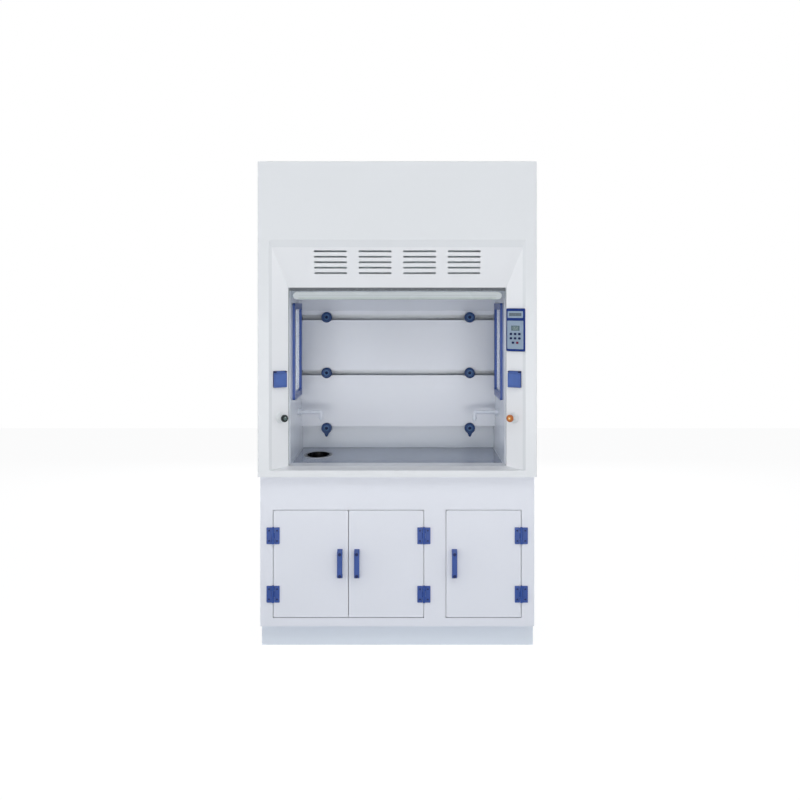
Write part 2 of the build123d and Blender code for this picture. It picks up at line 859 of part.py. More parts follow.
def make_sash_guides():
    """Upright strips that hold each pane's edges in two slots."""
    half = glass_thickness / 2 + glass_play
    strips = [
        (funnel_depth, lower_glass_setback - half),
        (lower_glass_setback + half, upper_glass_setback - half),
        (upper_glass_setback + half, wall_setback),
    ]
    solids = [slab(guide_half, guide_outer, d0, d1, opening_bottom, ceiling_height) for d0, d1 in strips]
    return joined(mirrored(solids))


def glass_pane(setback, z0, z1):
    """Sash pane with its edges in the guides."""
    half = glass_thickness / 2
    return slab(-glass_half, glass_half, setback - half, setback + half, z0, z1)


def make_handle_rail():
    """Round-ended lifting rail that grips the lower pane, with a finger groove along its underside."""
    front = lower_glass_setback - rail_depth + rail_floor + 2
    rear = front + rail_depth
    half = opening_half - rail_inset
    top = rail_bottom + rail_height
    bar = slab(-half, half, front, rear, rail_bottom, top)
    bar = soften(bar, rail_height / 2 - 0.5, Axis.Y)
    bar = fillet(bar.faces().sort_by(Axis.Y)[0].edges(), 5)
    bar = bar - glass_pane(lower_glass_setback, lower_pane_bottom, top + 1)
    grip_half = half - rail_height
    groove = slab(-grip_half, grip_half, front + 6, front + rail_depth / 2, rail_bottom - 1, rail_bottom + 10)
    return bar - soften(groove, 3, Axis.Z)


def make_carriers(setback, bottom, belt_x, radius):
    """Plates from a pane's edges to its belts; each closes round the belt's front run."""
    half = glass_thickness / 2
    outer = belt_x + pulley_width / 2 + belt_clearance + clamp_jaw
    plate = slab(glass_half, outer, setback - half, setback + half, bottom, bottom + carrier_height)
    run_rear = shaft_setback - radius - belt_clearance
    run_front = run_rear - belt_thickness
    slit = slab(belt_x - pulley_width / 2 - belt_clearance, belt_x + pulley_width / 2 + belt_clearance,
                run_front - belt_clearance, run_rear + belt_clearance, bottom - 1, bottom + carrier_height + 1)
    return joined(mirrored([plate - slit]))


def pulley(belt_x, height, radius):
    """Belt pulley with a low flange on each side of the belt."""
    x0 = belt_x - pulley_width / 2
    wheel = rod(x0, x0 + pulley_width, shaft_setback, height, radius)
    for edge in (x0 - belt_clearance - clamp_jaw, x0 + pulley_width + belt_clearance):
        wheel = wheel + rod(edge, edge + clamp_jaw, shaft_setback, height, radius + belt_thickness + 1)
    hub_from = x0 - belt_clearance - clamp_jaw
    return wheel + rod(hub_from, x0 + pulley_width + belt_clearance + clamp_jaw, shaft_setback, height, radius * 0.6)


def make_drive_shaft():
    """Cross shaft with a large and a small pulley at each end."""
    end = column_half - 4
    shaft = rod(-end, end, shaft_setback, shaft_height, shaft_radius)
    for side in (-1, 1):
        shaft = shaft + pulley(side * big_belt_x, shaft_height, pulley_radius)
        shaft = shaft + pulley(side * small_belt_x, shaft_height, small_pulley_radius)
    return shaft


def make_idler(side):
    """Lower pair of pulleys on one side, joined by a sleeve that turns on a stub axle."""
    wheels = pulley(side * big_belt_x, idler_height, pulley_radius)
    wheels = wheels + pulley(side * small_belt_x, idler_height, small_pulley_radius)
    wheels = wheels + rod(side * big_belt_x, side * small_belt_x, shaft_setback, idler_height, shaft_radius + 4)
    start = big_belt_x - pulley_width / 2 - 5
    bore = rod(side * start, side * (small_belt_x + pulley_width), shaft_setback, idler_height,
               shaft_radius + pin_clearance)
    return wheels - bore


def make_pulley_brackets():
    """Bearing blocks of the cross shaft and stub axles of the lower pulleys, on the outer sides."""
    inner = column_half - bearing_thickness
    half = bearing_size / 2
    block = slab(inner, column_half, shaft_setback - half, shaft_setback + half, shaft_height - half,
                 shaft_height + half)
    block = soften(block, 8, Axis.X)
    block = block - rod(inner - 1, column_half - 3, shaft_setback, shaft_height, shaft_radius + pin_clearance)
    plate = slab(inner, column_half, shaft_setback - half, shaft_setback + half, idler_height - half,
                 idler_height + half)
    plate = soften(plate, 8, Axis.X)
    axle = rod(big_belt_x - pulley_width, inner + 1, shaft_setback, idler_height, shaft_radius)
    return joined(mirrored([block, plate + axle]))


def belt_loop(belt_x, radius):
    """Closed belt round an upper and a lower pulley."""
    inner = radius + belt_clearance
    span = shaft_height - idler_height
    middle = (shaft_height + idler_height) / 2
    outline = SlotCenterToCenter(span, 2 * (inner + belt_thickness)) - SlotCenterToCenter(span, 2 * inner)
    plane = Plane(origin=(belt_x - pulley_width / 2, front_y + shaft_setback, middle), x_dir=(0, 0, 1),
                  z_dir=(1, 0, 0))
    return extrude(plane * outline, pulley_width)


def make_belts():
    """Large and small closed belts on each side."""
    loops = [belt_loop(big_belt_x, pulley_radius), belt_loop(small_belt_x, small_pulley_radius)]
    return joined(mirrored(loops))


def make_counterweight(side):
    """Steel weight clamped to the rear run of the large belt."""
    run_front = shaft_setback + pulley_radius + belt_clearance
    run_rear = run_front + belt_thickness
    front = run_rear + belt_clearance + clamp_jaw
    clamp_top = clamp_bottom + carrier_height
    inner = guide_outer + 3
    block = slab(side * inner, side * (inner + weight_width), front, front + weight_depth,
                 clamp_top - weight_height, clamp_top)
    block = soften(block, 4, Axis.Z)
    x0 = big_belt_x - pulley_width / 2 - belt_clearance
    x1 = big_belt_x + pulley_width / 2 + belt_clearance
    clamp = slab(side * (x0 - clamp_jaw), side * (x1 + clamp_jaw), run_front - belt_clearance - clamp_jaw, front,
                 clamp_bottom, clamp_top)
    slit = slab(side * x0, side * x1, run_front - belt_clearance, run_rear + belt_clearance, clamp_bottom - 1,
                clamp_top + 1)
    return block + (clamp - slit)


# Fittings on the side facings


def facing_plane(side, offset, height):
    """Plane on a side facing, normal towards the user; offset counts from its middle to its front edge."""
    across = facing_cosine * offset
    origin = (side * (facing_middle + across), front_y + funnel_depth / 2 - facing_sine * offset, height)
    return Plane(origin=origin, x_dir=(facing_cosine, -side * facing_sine, 0),
                 z_dir=(-side * facing_sine, -facing_cosine, 0))


def local_cylinder(radius, low, high):
    """Cylinder along a facing's normal, between two distances from its surface."""
    return Pos(0, 0, (low + high) / 2) * Cylinder(radius, high - low)


def local_plate(width, height, low, high, x=0, y=0, corner=0):
    """Rounded plate on a facing, between two distances from its surface."""
    outline = RectangleRounded(width, height, corner) if corner else Rectangle(width, height)
    return Pos(x, y, low) * extrude(outline, high - low)


def make_valve_bodies():
    """Remote valves in the side facings: body behind, flared escutcheon and stem in front."""
    solids = []
    for side, offset in valve_places():
        profile = Polyline((0, 0), (escutcheon_radius, 0), (escutcheon_radius, 2),
                           (stem_radius + 6, escutcheon_thickness), (0, escutcheon_thickness), close=True)
        flare = revolve(Plane.XZ * make_face(profile), Axis.Z)
        neck = local_cylinder(valve_neck_radius, -wall_sheet, 0)
        body = local_cylinder(valve_body_radius, -wall_sheet - valve_body_length, -wall_sheet)
        bonnet = local_cylinder(stem_radius + 4, escutcheon_thickness, knob_standoff - 1)
        stem = local_cylinder(stem_radius, knob_standoff - 1, stem_reach)
        place = facing_plane(side, offset, valve_height).location
        solids.append(place * (flare + neck + body + bonnet + stem))
    return joined(solids)


def make_knob(side, offset, dished):
    """Fluted valve knob on its stem, with a dished end or a flat one."""
    knob = local_cylinder(knob_radius, flutes_start, knob_reach)
    knob = chamfer(knob.faces().sort_by(Axis.Z)[0].edges(), knob_base_bevel)
    knob = fillet(knob.faces().sort_by(Axis.Z)[-1].edges(), knob_round)
    for index in range(knob_flutes):
        flute = Rot(0, 0, 360 * index / knob_flutes) * Pos(knob_radius + flute_radius * 0.45, 0, 0)
        knob = knob - flute * local_cylinder(flute_radius, flutes_start - 1, knob_reach - flute_end)
    knob = knob + local_cylinder(knob_neck_radius, knob_standoff, flutes_start)
    if dished:
        knob = knob - local_cylinder(knob_dish_radius, knob_reach - knob_dish_depth, knob_reach + 1)
    stem_end = stem_reach + stem_end_gap
    knob = knob - local_cylinder(stem_radius + pin_clearance, knob_standoff - 1, stem_end)
    return facing_plane(side, offset, valve_height).location * knob


def make_service_outlets():
    """Outlet arms from the chamber walls, bent down to a nozzle."""
    start_y = front_y + outlet_setback
    tip_x = wall_half - outlet_reach
    path = FilletPolyline((wall_half, start_y, outlet_height), (tip_x, start_y, outlet_height),
                          (tip_x, start_y, outlet_height - outlet_drop), radius=outlet_bend)
    arm = sweep(Plane(origin=path @ 0, z_dir=path % 0) * Circle(outlet_radius), path=path)
    collar = rod(wall_half - outlet_collar_thickness, wall_half, outlet_setback, outlet_height,
                 outlet_collar_radius)
    collar = fillet(collar.faces().sort_by(Axis.X)[0].edges(), outlet_collar_thickness / 2)
    nut_end = wall_half - outlet_collar_thickness
    nut = rod(nut_end - outlet_nut_length, nut_end, outlet_setback, outlet_height,
              outlet_radius + outlet_nut_margin)
    cap_bottom = outlet_height - outlet_drop - outlet_cap_height
    nozzle = post(tip_x, outlet_setback, cap_bottom, cap_bottom + outlet_cap_height,
                  outlet_radius + outlet_cap_margin)
    for barb in range(nozzle_barbs):
        middle = cap_bottom - (barb + 0.5) * nozzle_barb_height
        rib = Cone(nozzle_radius - nozzle_barb_step, nozzle_radius, nozzle_barb_height)
        nozzle = nozzle + Pos(tip_x, start_y, middle) * rib
    return joined(mirrored([arm + collar + nut + nozzle]))


def socket_places():
    """Side and offset of the two sockets."""
    return [("left", -1, socket_offset), ("right", 1, socket_offset)]


def make_sockets(nodes):
    """Socket bases with round inserts and the covers that hinge at their tops."""
    bases = []
    hinge_rise = socket_base + cover_knuckle + cover_gap
    hinge_top = socket_length / 2 - cover_knuckle - 1
    lug = 9
    for name, side, offset in socket_places():
        place = facing_plane(side, offset, socket_height).location
        base = local_plate(socket_width, socket_length, 0, socket_base, corner=3)
        base = base - local_cylinder(insert_radius, socket_base - 3, socket_base + 1)
        base = base + local_cylinder(insert_radius - 3, socket_base - 3, socket_base - 1.5)
        reach = socket_width / 2 - 6
        for x in (-reach, reach):
            knuckle = Pos(x, hinge_top, hinge_rise) * Rot(0, 90, 0) * Cylinder(cover_knuckle, lug)
            web = Pos(x, hinge_top, (socket_base + hinge_rise) / 2) * Box(lug, 2 * cover_knuckle,
                                                                       hinge_rise - socket_base)
            base = base + knuckle + web
        pin = Pos(0, hinge_top, hinge_rise) * Rot(0, 90, 0) * Cylinder(cover_pin_radius, 2 * reach)
        bases.append(place * (base + pin))
        low = socket_base + cover_gap
        bottom = -socket_length / 2
        flap_top = hinge_top - cover_knuckle - cover_gap
        lid = local_plate(socket_width, flap_top - bottom, low, low + cover_thickness,
                          y=(flap_top + bottom) / 2, corner=2.5)
        lid = fillet(lid.faces().sort_by(Axis.Z)[-1].edges(), 2)
        lift = local_plate(20, 5, low, low + cover_thickness + 2, y=bottom + 3.5, corner=2)
        inner = 2 * reach - lug - 2 * cover_gap
        barrel = Pos(0, hinge_top, hinge_rise) * Rot(0, 90, 0) * Cylinder(cover_knuckle, inner)
        strap = local_plate(inner, hinge_top - flap_top + 1, hinge_rise - 1, hinge_rise + cover_knuckle,
                            y=(hinge_top + flap_top - 1) / 2)
        bore = Pos(0, hinge_top, hinge_rise) * Rot(0, 90, 0) * Cylinder(cover_pin_radius + pin_clearance, socket_width)
        nodes["socket_cover_" + name] = place * (lid + lift + barrel + strap - bore)
    nodes["socket_bases"] = joined(bases)


def key_places():
    """Places of the keys on the control panel: two rows of three and a lower row of two."""
    places = []
    for row in range(2):
        for column in range(3):
            places.append(((column - 1) * key_pitch_x, key_rise - row * key_pitch_z - key_pitch_z))
    for column in range(2):
        places.append(((column - 0.5) * key_pitch_x, key_rise - 3 * key_pitch_z))
    return places


def make_control_panel(nodes):
    """Bezel with a recessed keypad, a bare header plate, a display window and sprung keys."""
    place = facing_plane(1, panel_offset, panel_height).location
    face_low = bezel_thickness - face_recess
    face_y = -bezel_height / 2 + face_margin + face_height / 2
    header_y = bezel_height / 2 - (bezel_height - face_margin - face_height) / 2
    bezel = local_plate(bezel_width, bezel_height, 0, bezel_thickness, corner=6)
    bezel = fillet(bezel.faces().sort_by(Axis.Z)[-1].edges(), 2)
    bezel = bezel - local_plate(face_width, face_height, face_low, bezel_thickness + 1, y=face_y, corner=3)
    header_floor = bezel_thickness - header_recess
    bezel = bezel - local_plate(header_width, header_height, header_floor, bezel_thickness + 1, y=header_y,
                                corner=3)
    face = local_plate(face_width - 2 * key_clearance, face_height - 2 * key_clearance, face_low,
                       face_low + face_sheet, y=face_y, corner=3)
    display_y = face_y + display_rise
    display_cut = local_plate(display_width, display_height, face_low - 1, bezel_thickness, y=display_y)
    face = face - display_cut
    header = local_plate(header_width - 2 * key_clearance, header_height - 2 * key_clearance, header_floor,
                         bezel_thickness - 0.4, y=header_y, corner=3)
    display = local_plate(display_width - 2 * key_clearance, display_height - 2 * key_clearance, face_low,
                          face_low + face_sheet - 0.8, y=display_y)
    key_top = face_low + face_sheet + key_proud
    for index, (x, y) in enumerate(key_places()):
        well = Pos(x, face_y + y, 0) * local_cylinder(key_radius + key_clearance,
                                                       key_top - key_length - key_travel - key_clearance,
                                                       bezel_thickness + 1)
        face = face - well
        bezel = bezel - well
        key = Pos(x, face_y + y, 0) * local_cylinder(key_radius, key_top - key_length, key_top)
        key = fillet(key.faces().sort_by(Axis.Z)[-1].edges(), 1)
        nodes["key_%d" % (index + 1)] = place * key
    nodes["control_bezel"] = place * bezel
    nodes["control_faceplate"] = joined([place * face, place * header])
    nodes["control_display"] = place * display


def make_nodes():
    """All sub-parts of the hood by name."""
    nodes = {
        "plinth": make_plinth(),
        "base_carcass": make_base_carcass(),
        "base_front_frame": make_base_front_frame(),
        "worktop": make_worktop(),
        "sill": make_sill(),
        "cup_sink": make_cup_sink(),
        "sink_trap": make_sink_trap(),
        "chamber_side_walls": make_chamber_side_walls(),
        "chamber_shell": make_chamber_shell(),
        "baffles": make_baffles(),
        "baffle_holders": make_baffle_holders(),
        "window_frames": make_window_frames(),
        "window_panes": make_window_panes(),
        "lamp": make_lamp(),
        "lamp_cover": make_lamp_cover(),
        "front_sheet": make_front_sheet(),
        "vent_facing": make_vent_facing(),
        "facings": make_facings(),
        "hood_side_panels": make_hood_side_panels(),
        "hood_top_panel": make_hood_top_panel(),
        "hood_back_panel": make_hood_back_panel(),
        "exhaust_collar": make_exhaust_collar(),
        "sash_guides": make_sash_guides(),
        "lower_sash_glass": glass_pane(lower_glass_setback, lower_pane_bottom, lower_pane_top),
        "upper_sash_glass": glass_pane(upper_glass_setback, upper_pane_bottom, upper_pane_top),
        "sash_handle_rail": make_handle_rail(),
        "lower_sash_carriers": make_carriers(lower_glass_setback, lower_carrier_bottom, big_belt_x,
                                             pulley_radius),
        "upper_sash_carriers": make_carriers(upper_glass_setback, upper_carrier_bottom, small_belt_x,
                                             small_pulley_radius),
        "drive_shaft": make_drive_shaft(),
        "pulley_brackets": make_pulley_brackets(),
        "idler_left": make_idler(-1),
        "idler_right": make_idler(1),
        "belts": make_belts(),
        "counterweight_left": make_counterweight(-1),
        "counterweight_right": make_counterweight(1),
        "valve_bodies": make_valve_bodies(),
        "water_knob": make_knob(-1, valve_offset, False),
        "gas_knob": make_knob(1, valve_offset, True),
        "service_outlets": make_service_outlets(),
    }
    make_doors(nodes)
    make_sockets(nodes)
    make_control_panel(nodes)
    return nodes


os.makedirs("parts", exist_ok=True)
for node, shape in make_nodes().items():
    shape.label = node
    export_step(shape, "parts/" + node + ".step")
print("front plane at y = %.3f, back at y = %.3f" % (front_y, back_y))
print("sash travel %.1f, hood height %.1f" % (sash_travel, hood_height))
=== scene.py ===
import json
import math
import bmesh
import bpy
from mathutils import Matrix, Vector


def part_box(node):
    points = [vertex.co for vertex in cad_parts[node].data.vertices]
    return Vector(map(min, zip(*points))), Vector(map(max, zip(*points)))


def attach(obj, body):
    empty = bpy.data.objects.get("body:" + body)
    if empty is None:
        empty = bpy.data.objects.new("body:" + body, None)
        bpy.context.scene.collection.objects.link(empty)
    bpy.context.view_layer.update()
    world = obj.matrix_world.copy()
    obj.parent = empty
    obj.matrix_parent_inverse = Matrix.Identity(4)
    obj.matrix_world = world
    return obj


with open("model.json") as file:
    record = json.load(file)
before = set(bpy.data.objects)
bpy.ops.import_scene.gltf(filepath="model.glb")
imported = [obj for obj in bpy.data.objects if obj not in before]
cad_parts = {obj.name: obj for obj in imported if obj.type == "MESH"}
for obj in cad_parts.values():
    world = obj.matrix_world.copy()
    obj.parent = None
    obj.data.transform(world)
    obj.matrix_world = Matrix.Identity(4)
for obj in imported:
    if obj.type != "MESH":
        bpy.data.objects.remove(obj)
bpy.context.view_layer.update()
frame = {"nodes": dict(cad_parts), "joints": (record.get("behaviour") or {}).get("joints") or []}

# Camera.
# It stands a little right of the hood's middle at eye height, level, about five metres away,
# with the lens shifted so that uprights stay upright.
FRONT_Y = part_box("front_sheet")[0][1]
EYE_HEIGHT = 1.544
EYE_DISTANCE = 5.1
EYE_SIDE = 0.037
PHOTO_PIXELS = 800
PHOTO_SCALE = 0.004477
HORIZON_PIXEL = (405.5, 306.8)
SENSOR = 36

camera_data = bpy.data.cameras.new("camera")
camera_data.sensor_width = SENSOR
camera_data.lens = SENSOR * EYE_DISTANCE / (PHOTO_PIXELS * PHOTO_SCALE)
camera_data.shift_x = 0.5 - HORIZON_PIXEL[0] / PHOTO_PIXELS
camera_data.shift_y = HORIZON_PIXEL[1] / PHOTO_PIXELS - 0.5
camera = bpy.data.objects.new("camera", camera_data)
camera.location = (EYE_SIDE, FRONT_Y - EYE_DISTANCE, EYE_HEIGHT)
camera.rotation_euler = (math.radians(90), 0, 0)
bpy.context.collection.objects.link(camera)
bpy.context.scene.camera = camera

# Studio.
# A pale floor and a white world, which the camera, mirrors and glass see as plain white,
# and five wide soft lamps: one overhead, one on each side, one low in front and one behind.
AMBIENT_STRENGTH = 0.236
FLOOR_REACH = 9
FLOOR_SHADOW_SHARE = 0.14
FLOOR_GLOW = 1.09

bpy.context.scene.view_settings.view_transform = "Standard"


def maths(tree, operation, first, second):
    """Result of a Math node on two sockets or numbers."""
    node = tree.nodes.new("ShaderNodeMath")
    node.operation = operation
    for socket, value in zip(node.inputs, (first, second)):
        if hasattr(value, "default_value"):
            tree.links.new(value, socket)
        else:
            socket.default_value = value
    return node.outputs[0]


def shown_as_white(tree):
    """1 where a camera or transmission ray looks, so that the studio is white there, and the ray node."""
    rays = tree.nodes.new("ShaderNodeLightPath")
    return maths(tree, "MAXIMUM", rays.outputs["Is Camera Ray"], rays.outputs["Is Transmission Ray"]), rays


def mix_surface(tree, share, first, second, output):
    """Ends a tree with a mix of two shaders, of which the share is the second's."""
    mix = tree.nodes.new("ShaderNodeMixShader")
    for socket, value in zip(mix.inputs, (share, first.outputs[0], second.outputs[0])):
        tree.links.new(value, socket)
    tree.links.new(mix.outputs[0], output.inputs["Surface"])


world = bpy.data.worlds.new("studio")
world.use_nodes = True
bpy.context.scene.world = world
world_tree = world.node_tree
world_tree.nodes.clear()
seen, rays = shown_as_white(world_tree)
seen = maths(world_tree, "MAXIMUM", seen, rays.outputs["Is Glossy Ray"])
ambient = world_tree.nodes.new("ShaderNodeBackground")
ambient.inputs["Color"].default_value = (0.93, 0.96, 1, 1)
ambient.inputs["Strength"].default_value = AMBIENT_STRENGTH
white = world_tree.nodes.new("ShaderNodeBackground")
white.inputs["Color"].default_value = (1, 1, 1, 1)
white.inputs["Strength"].default_value = 1
mix_surface(world_tree, seen, ambient, white, world_tree.nodes.new("ShaderNodeOutputWorld"))

floor_mesh = bpy.data.meshes.new("floor")
floor_mesh.from_pydata([(-FLOOR_REACH, -FLOOR_REACH, 0), (FLOOR_REACH, -FLOOR_REACH, 0),
                        (FLOOR_REACH, FLOOR_REACH, 0), (-FLOOR_REACH, FLOOR_REACH, 0)], [], [(0, 1, 2, 3)])
floor = bpy.data.objects.new("floor", floor_mesh)
bpy.context.collection.objects.link(floor)
floor_material = bpy.data.materials.new("pale_floor")
floor_material.use_nodes = True
floor_tree = floor_material.node_tree
floor_tree.nodes.clear()
mostly_seen = maths(floor_tree, "MULTIPLY", shown_as_white(floor_tree)[0], 1 - FLOOR_SHADOW_SHARE)
floor_diffuse = floor_tree.nodes.new("ShaderNodeBsdfDiffuse")
floor_diffuse.inputs["Color"].default_value = (0.82, 0.83, 0.85, 1)
floor_white = floor_tree.nodes.new("ShaderNodeEmission")
floor_white.inputs["Strength"].default_value = FLOOR_GLOW
mix_surface(floor_tree, mostly_seen, floor_diffuse, floor_white,
            floor_tree.nodes.new("ShaderNodeOutputMaterial"))
floor.data.materials.append(floor_material)


def soft_lamp(name, place, target, width, height, watts, colour):
    """Rectangular area lamp that faces a target."""
    data = bpy.data.lights.new(name, "AREA")
    data.shape = "RECTANGLE"
    data.size = width
    data.size_y = height
    data.energy = watts
    data.color = colour
    lamp = bpy.data.objects.new(name, data)
    lamp.location = place
    lamp.rotation_euler = (Vector(target) - Vector(place)).to_track_quat("-Z", "Y").to_euler()
    bpy.context.collection.objects.link(lamp)


soft_lamp("overhead_lamp", (0, -3.4, 4.4), (0, 0, 1.3), 5.0, 2.6, 62, (1, 1, 1))
soft_lamp("left_lamp", (-4.5, -2.6, 1.9), (0, 0, 1.3), 2.4, 3.0, 41, (0.97, 0.985, 1))
soft_lamp("right_lamp", (4.5, -2.6, 1.9), (0, 0, 1.3), 2.4, 3.0, 37, (0.97, 0.985, 1))
soft_lamp("low_lamp", (0, -5.8, 0.7), (0, 0, 0.9), 5.0, 1.0, 92, (1, 0.995, 0.99))
soft_lamp("rear_lamp", (0, 5.2, 2.8), (0, 0, 1.2), 5.0, 2.6, 120, (1, 1, 1))

# Cabinet, plinth and doors.
# Extruded polypropylene sheet, saw cut and butt welded. The plinth is set back under the floor board,
# and the doors lie flush in the front board.
GRAIN_STRENGTH = 0.25
GRAIN_DEPTH = 0.0002


def srgb(red, green, blue):
    """Linear colour of an 8-bit display colour."""
    levels = [channel / 255 for channel in (red, green, blue)]
    linear = [level / 12.92 if level <= 0.04045 else ((level + 0.055) / 1.055) ** 2.4 for level in levels]
    return (*linear, 1)


def new_group(name, inputs, outputs):
    """Empty shader group with named sockets, and its input and output nodes."""
    tree = bpy.data.node_groups.new(name, "ShaderNodeTree")
    for label, kind, value in inputs:
        tree.interface.new_socket(label, in_out="INPUT", socket_type=kind).default_value = value
    for label, kind in outputs:
        tree.interface.new_socket(label, in_out="OUTPUT", socket_type=kind)
    return tree, tree.nodes.new("NodeGroupInput"), tree.nodes.new("NodeGroupOutput")


def noise(tree, vector, scale, detail):
    """Noise texture's value along a vector."""
    texture = tree.nodes.new("ShaderNodeTexNoise")
    texture.inputs["Scale"].default_value = scale
    texture.inputs["Detail"].default_value = detail
    tree.links.new(vector, texture.inputs["Vector"])
    return texture.outputs["Fac"]


def ranged(tree, value, low, high):
    """A noise value spread between two numbers or sockets."""
    spread = tree.nodes.new("ShaderNodeMapRange")
    spread.interpolation_type = "SMOOTHSTEP"
    spread.inputs["From Min"].default_value = 0.3
    spread.inputs["From Max"].default_value = 0.7
    tree.links.new(value, spread.inputs["Value"])
    for socket, end in (("To Min", low), ("To Max", high)):
        if hasattr(end, "default_value"):
            tree.links.new(end, spread.inputs[socket])
        else:
            spread.inputs[socket].default_value = end
    return spread.outputs["Result"]


def plastic_surface_group(name, cloud_scale, gloss_scale, grain_scale):
    """Plastic's surface: faint clouds in the colour, uneven gloss and a fine grain in its relief."""
    tree, given, result = new_group(
        name,
        [("Colour", "NodeSocketColor", (0.8, 0.8, 0.8, 1)), ("Darkest", "NodeSocketFloat", 0.97),
         ("Smoothest", "NodeSocketFloat", 0.25), ("Roughest", "NodeSocketFloat", 0.35)],
        [("Colour", "NodeSocketColor"), ("Roughness", "NodeSocketFloat"), ("Height", "NodeSocketFloat")])
    place = tree.nodes.new("ShaderNodeTexCoord").outputs["Object"]
    tinted = tree.nodes.new("ShaderNodeVectorMath")
    tinted.operation = "SCALE"
    tree.links.new(given.outputs["Colour"], tinted.inputs[0])
    cloud = ranged(tree, noise(tree, place, cloud_scale, 2), given.outputs["Darkest"], 1)
    tree.links.new(cloud, tinted.inputs["Scale"])
    gloss = ranged(tree, noise(tree, place, gloss_scale, 2), given.outputs["Smoothest"],
                   given.outputs["Roughest"])
    tree.links.new(tinted.outputs["Vector"], result.inputs["Colour"])
    tree.links.new(gloss, result.inputs["Roughness"])
    tree.links.new(noise(tree, place, grain_scale, 2), result.inputs["Height"])
    return tree


SHEET_SURFACE = plastic_surface_group("sheet_surface", 1.4, 2.2, 230)


def surface_material(name, group, values, **shader_values):
    """Principled material whose colour, roughness and relief come from a surface group."""
    material = bpy.data.materials.new(name)
    material.use_nodes = True
    tree = material.node_tree
    shader = tree.nodes["Principled BSDF"]
    surface = tree.nodes.new("ShaderNodeGroup")
    surface.node_tree = group
    for label, value in values.items():
        surface.inputs[label].default_value = value
    tree.links.new(surface.outputs["Colour"], shader.inputs["Base Color"])
    tree.links.new(surface.outputs["Roughness"], shader.inputs["Roughness"])
    relief = tree.nodes.new("ShaderNodeBump")
    relief.inputs["Strength"].default_value = GRAIN_STRENGTH
    relief.inputs["Distance"].default_value = GRAIN_DEPTH
    tree.links.new(surface.outputs["Height"], relief.inputs["Height"])
    tree.links.new(relief.outputs["Normal"], shader.inputs["Normal"])
    for label, value in shader_values.items():
        shader.inputs[label.replace("_", " ")].default_value = value
    return material


def sheet_material(name, colour, smoothest=0.29, roughest=0.33, darkest=0.988):
    """Polypropylene sheet of one colour."""
    values = {"Colour": srgb(*colour), "Darkest": darkest, "Smoothest": smoothest, "Roughest": roughest}
    return surface_material(name, SHEET_SURFACE, values, IOR=1.49)


def dress(material, *nodes):
    """Gives CAD nodes a material."""
    for node in nodes:
        slots = frame["nodes"][node].data.materials
        if len(slots):
            for index in range(len(slots)):
                slots[index] = material
        else:
            slots.append(material)


cabinet_sheet = sheet_material("cabinet_sheet", (226, 229, 237))
dress(cabinet_sheet, "base_carcass", "base_front_frame", "door_left", "door_middle", "door_right")
dress(sheet_material("plinth_sheet", (224, 231, 240), 0.34, 0.46), "plinth")

# Weld beads of the cabinet.
# A rod of the same plastic is melted into each inner corner by hand, and leaves a rippled bead:
# over the plinth, and under the hood where it overhangs the base at the front and on both sides.
BEAD_RADIUS = 0.0024
RIPPLE_PITCH = 0.0032
RIPPLE_DEPTH = 0.12


def new_nodes(name, inputs):
    """Empty geometry tree with a start mesh, named inputs and one result."""
    tree = bpy.data.node_groups.new(name, "GeometryNodeTree")
    tree.interface.new_socket("Start", in_out="INPUT", socket_type="NodeSocketGeometry")
    for label, kind in inputs:
        tree.interface.new_socket(label, in_out="INPUT", socket_type=kind)
    tree.interface.new_socket("Result", in_out="OUTPUT", socket_type="NodeSocketGeometry")
    return tree, tree.nodes.new("NodeGroupInput"), tree.nodes.new("NodeGroupOutput")


def finish_nodes(tree, given, result, geometry):
    """Ends a tree with real geometry, smooth shading and the material."""
    realize = tree.nodes.new("GeometryNodeRealizeInstances")
    smooth = tree.nodes.new("GeometryNodeSetShadeSmooth")
    paint = tree.nodes.new("GeometryNodeSetMaterial")
    tree.links.new(geometry, realize.inputs["Geometry"])
    tree.links.new(realize.outputs["Geometry"], smooth.inputs["Geometry"])
    tree.links.new(smooth.outputs["Geometry"], paint.inputs["Geometry"])
    tree.links.new(given.outputs["Material"], paint.inputs["Material"])
    tree.links.new(paint.outputs["Geometry"], result.inputs["Result"])


def weld_bead_nodes():
    """Bead along a line, whose thickness swells and shrinks once for each ripple."""
    tree, given, result = new_nodes("weld_bead", [
        ("Radius", "NodeSocketFloat"), ("Ripple Pitch", "NodeSocketFloat"),
        ("Ripple Depth", "NodeSocketFloat"), ("Material", "NodeSocketMaterial")])
    line = tree.nodes.new("GeometryNodeMeshToCurve")
    tree.links.new(given.outputs["Start"], line.inputs["Mesh"])
    steps = tree.nodes.new("GeometryNodeResampleCurve")
    steps.mode = "LENGTH"
    tree.links.new(line.outputs["Curve"], steps.inputs["Curve"])
    tree.links.new(maths(tree, "DIVIDE", given.outputs["Ripple Pitch"], 3), steps.inputs["Length"])
    along = tree.nodes.new("GeometryNodeSplineParameter").outputs["Length"]
    turns = maths(tree, "DIVIDE", along, given.outputs["Ripple Pitch"])
    wave = maths(tree, "SINE", maths(tree, "MULTIPLY", turns, 2 * math.pi), 0)
    swell = maths(tree, "ADD", maths(tree, "MULTIPLY", wave, given.outputs["Ripple Depth"]), 1)
    section = tree.nodes.new("GeometryNodeCurvePrimitiveCircle")
    section.inputs["Resolution"].default_value = 8
    tree.links.new(given.outputs["Radius"], section.inputs["Radius"])
    tube = tree.nodes.new("GeometryNodeCurveToMesh")
    tube.inputs["Fill Caps"].default_value = True
    tree.links.new(steps.outputs["Curve"], tube.inputs["Curve"])
    tree.links.new(section.outputs["Curve"], tube.inputs["Profile Curve"])
    tree.links.new(swell, tube.inputs["Scale"])
    finish_nodes(tree, given, result, tube.outputs["Mesh"])
    return tree


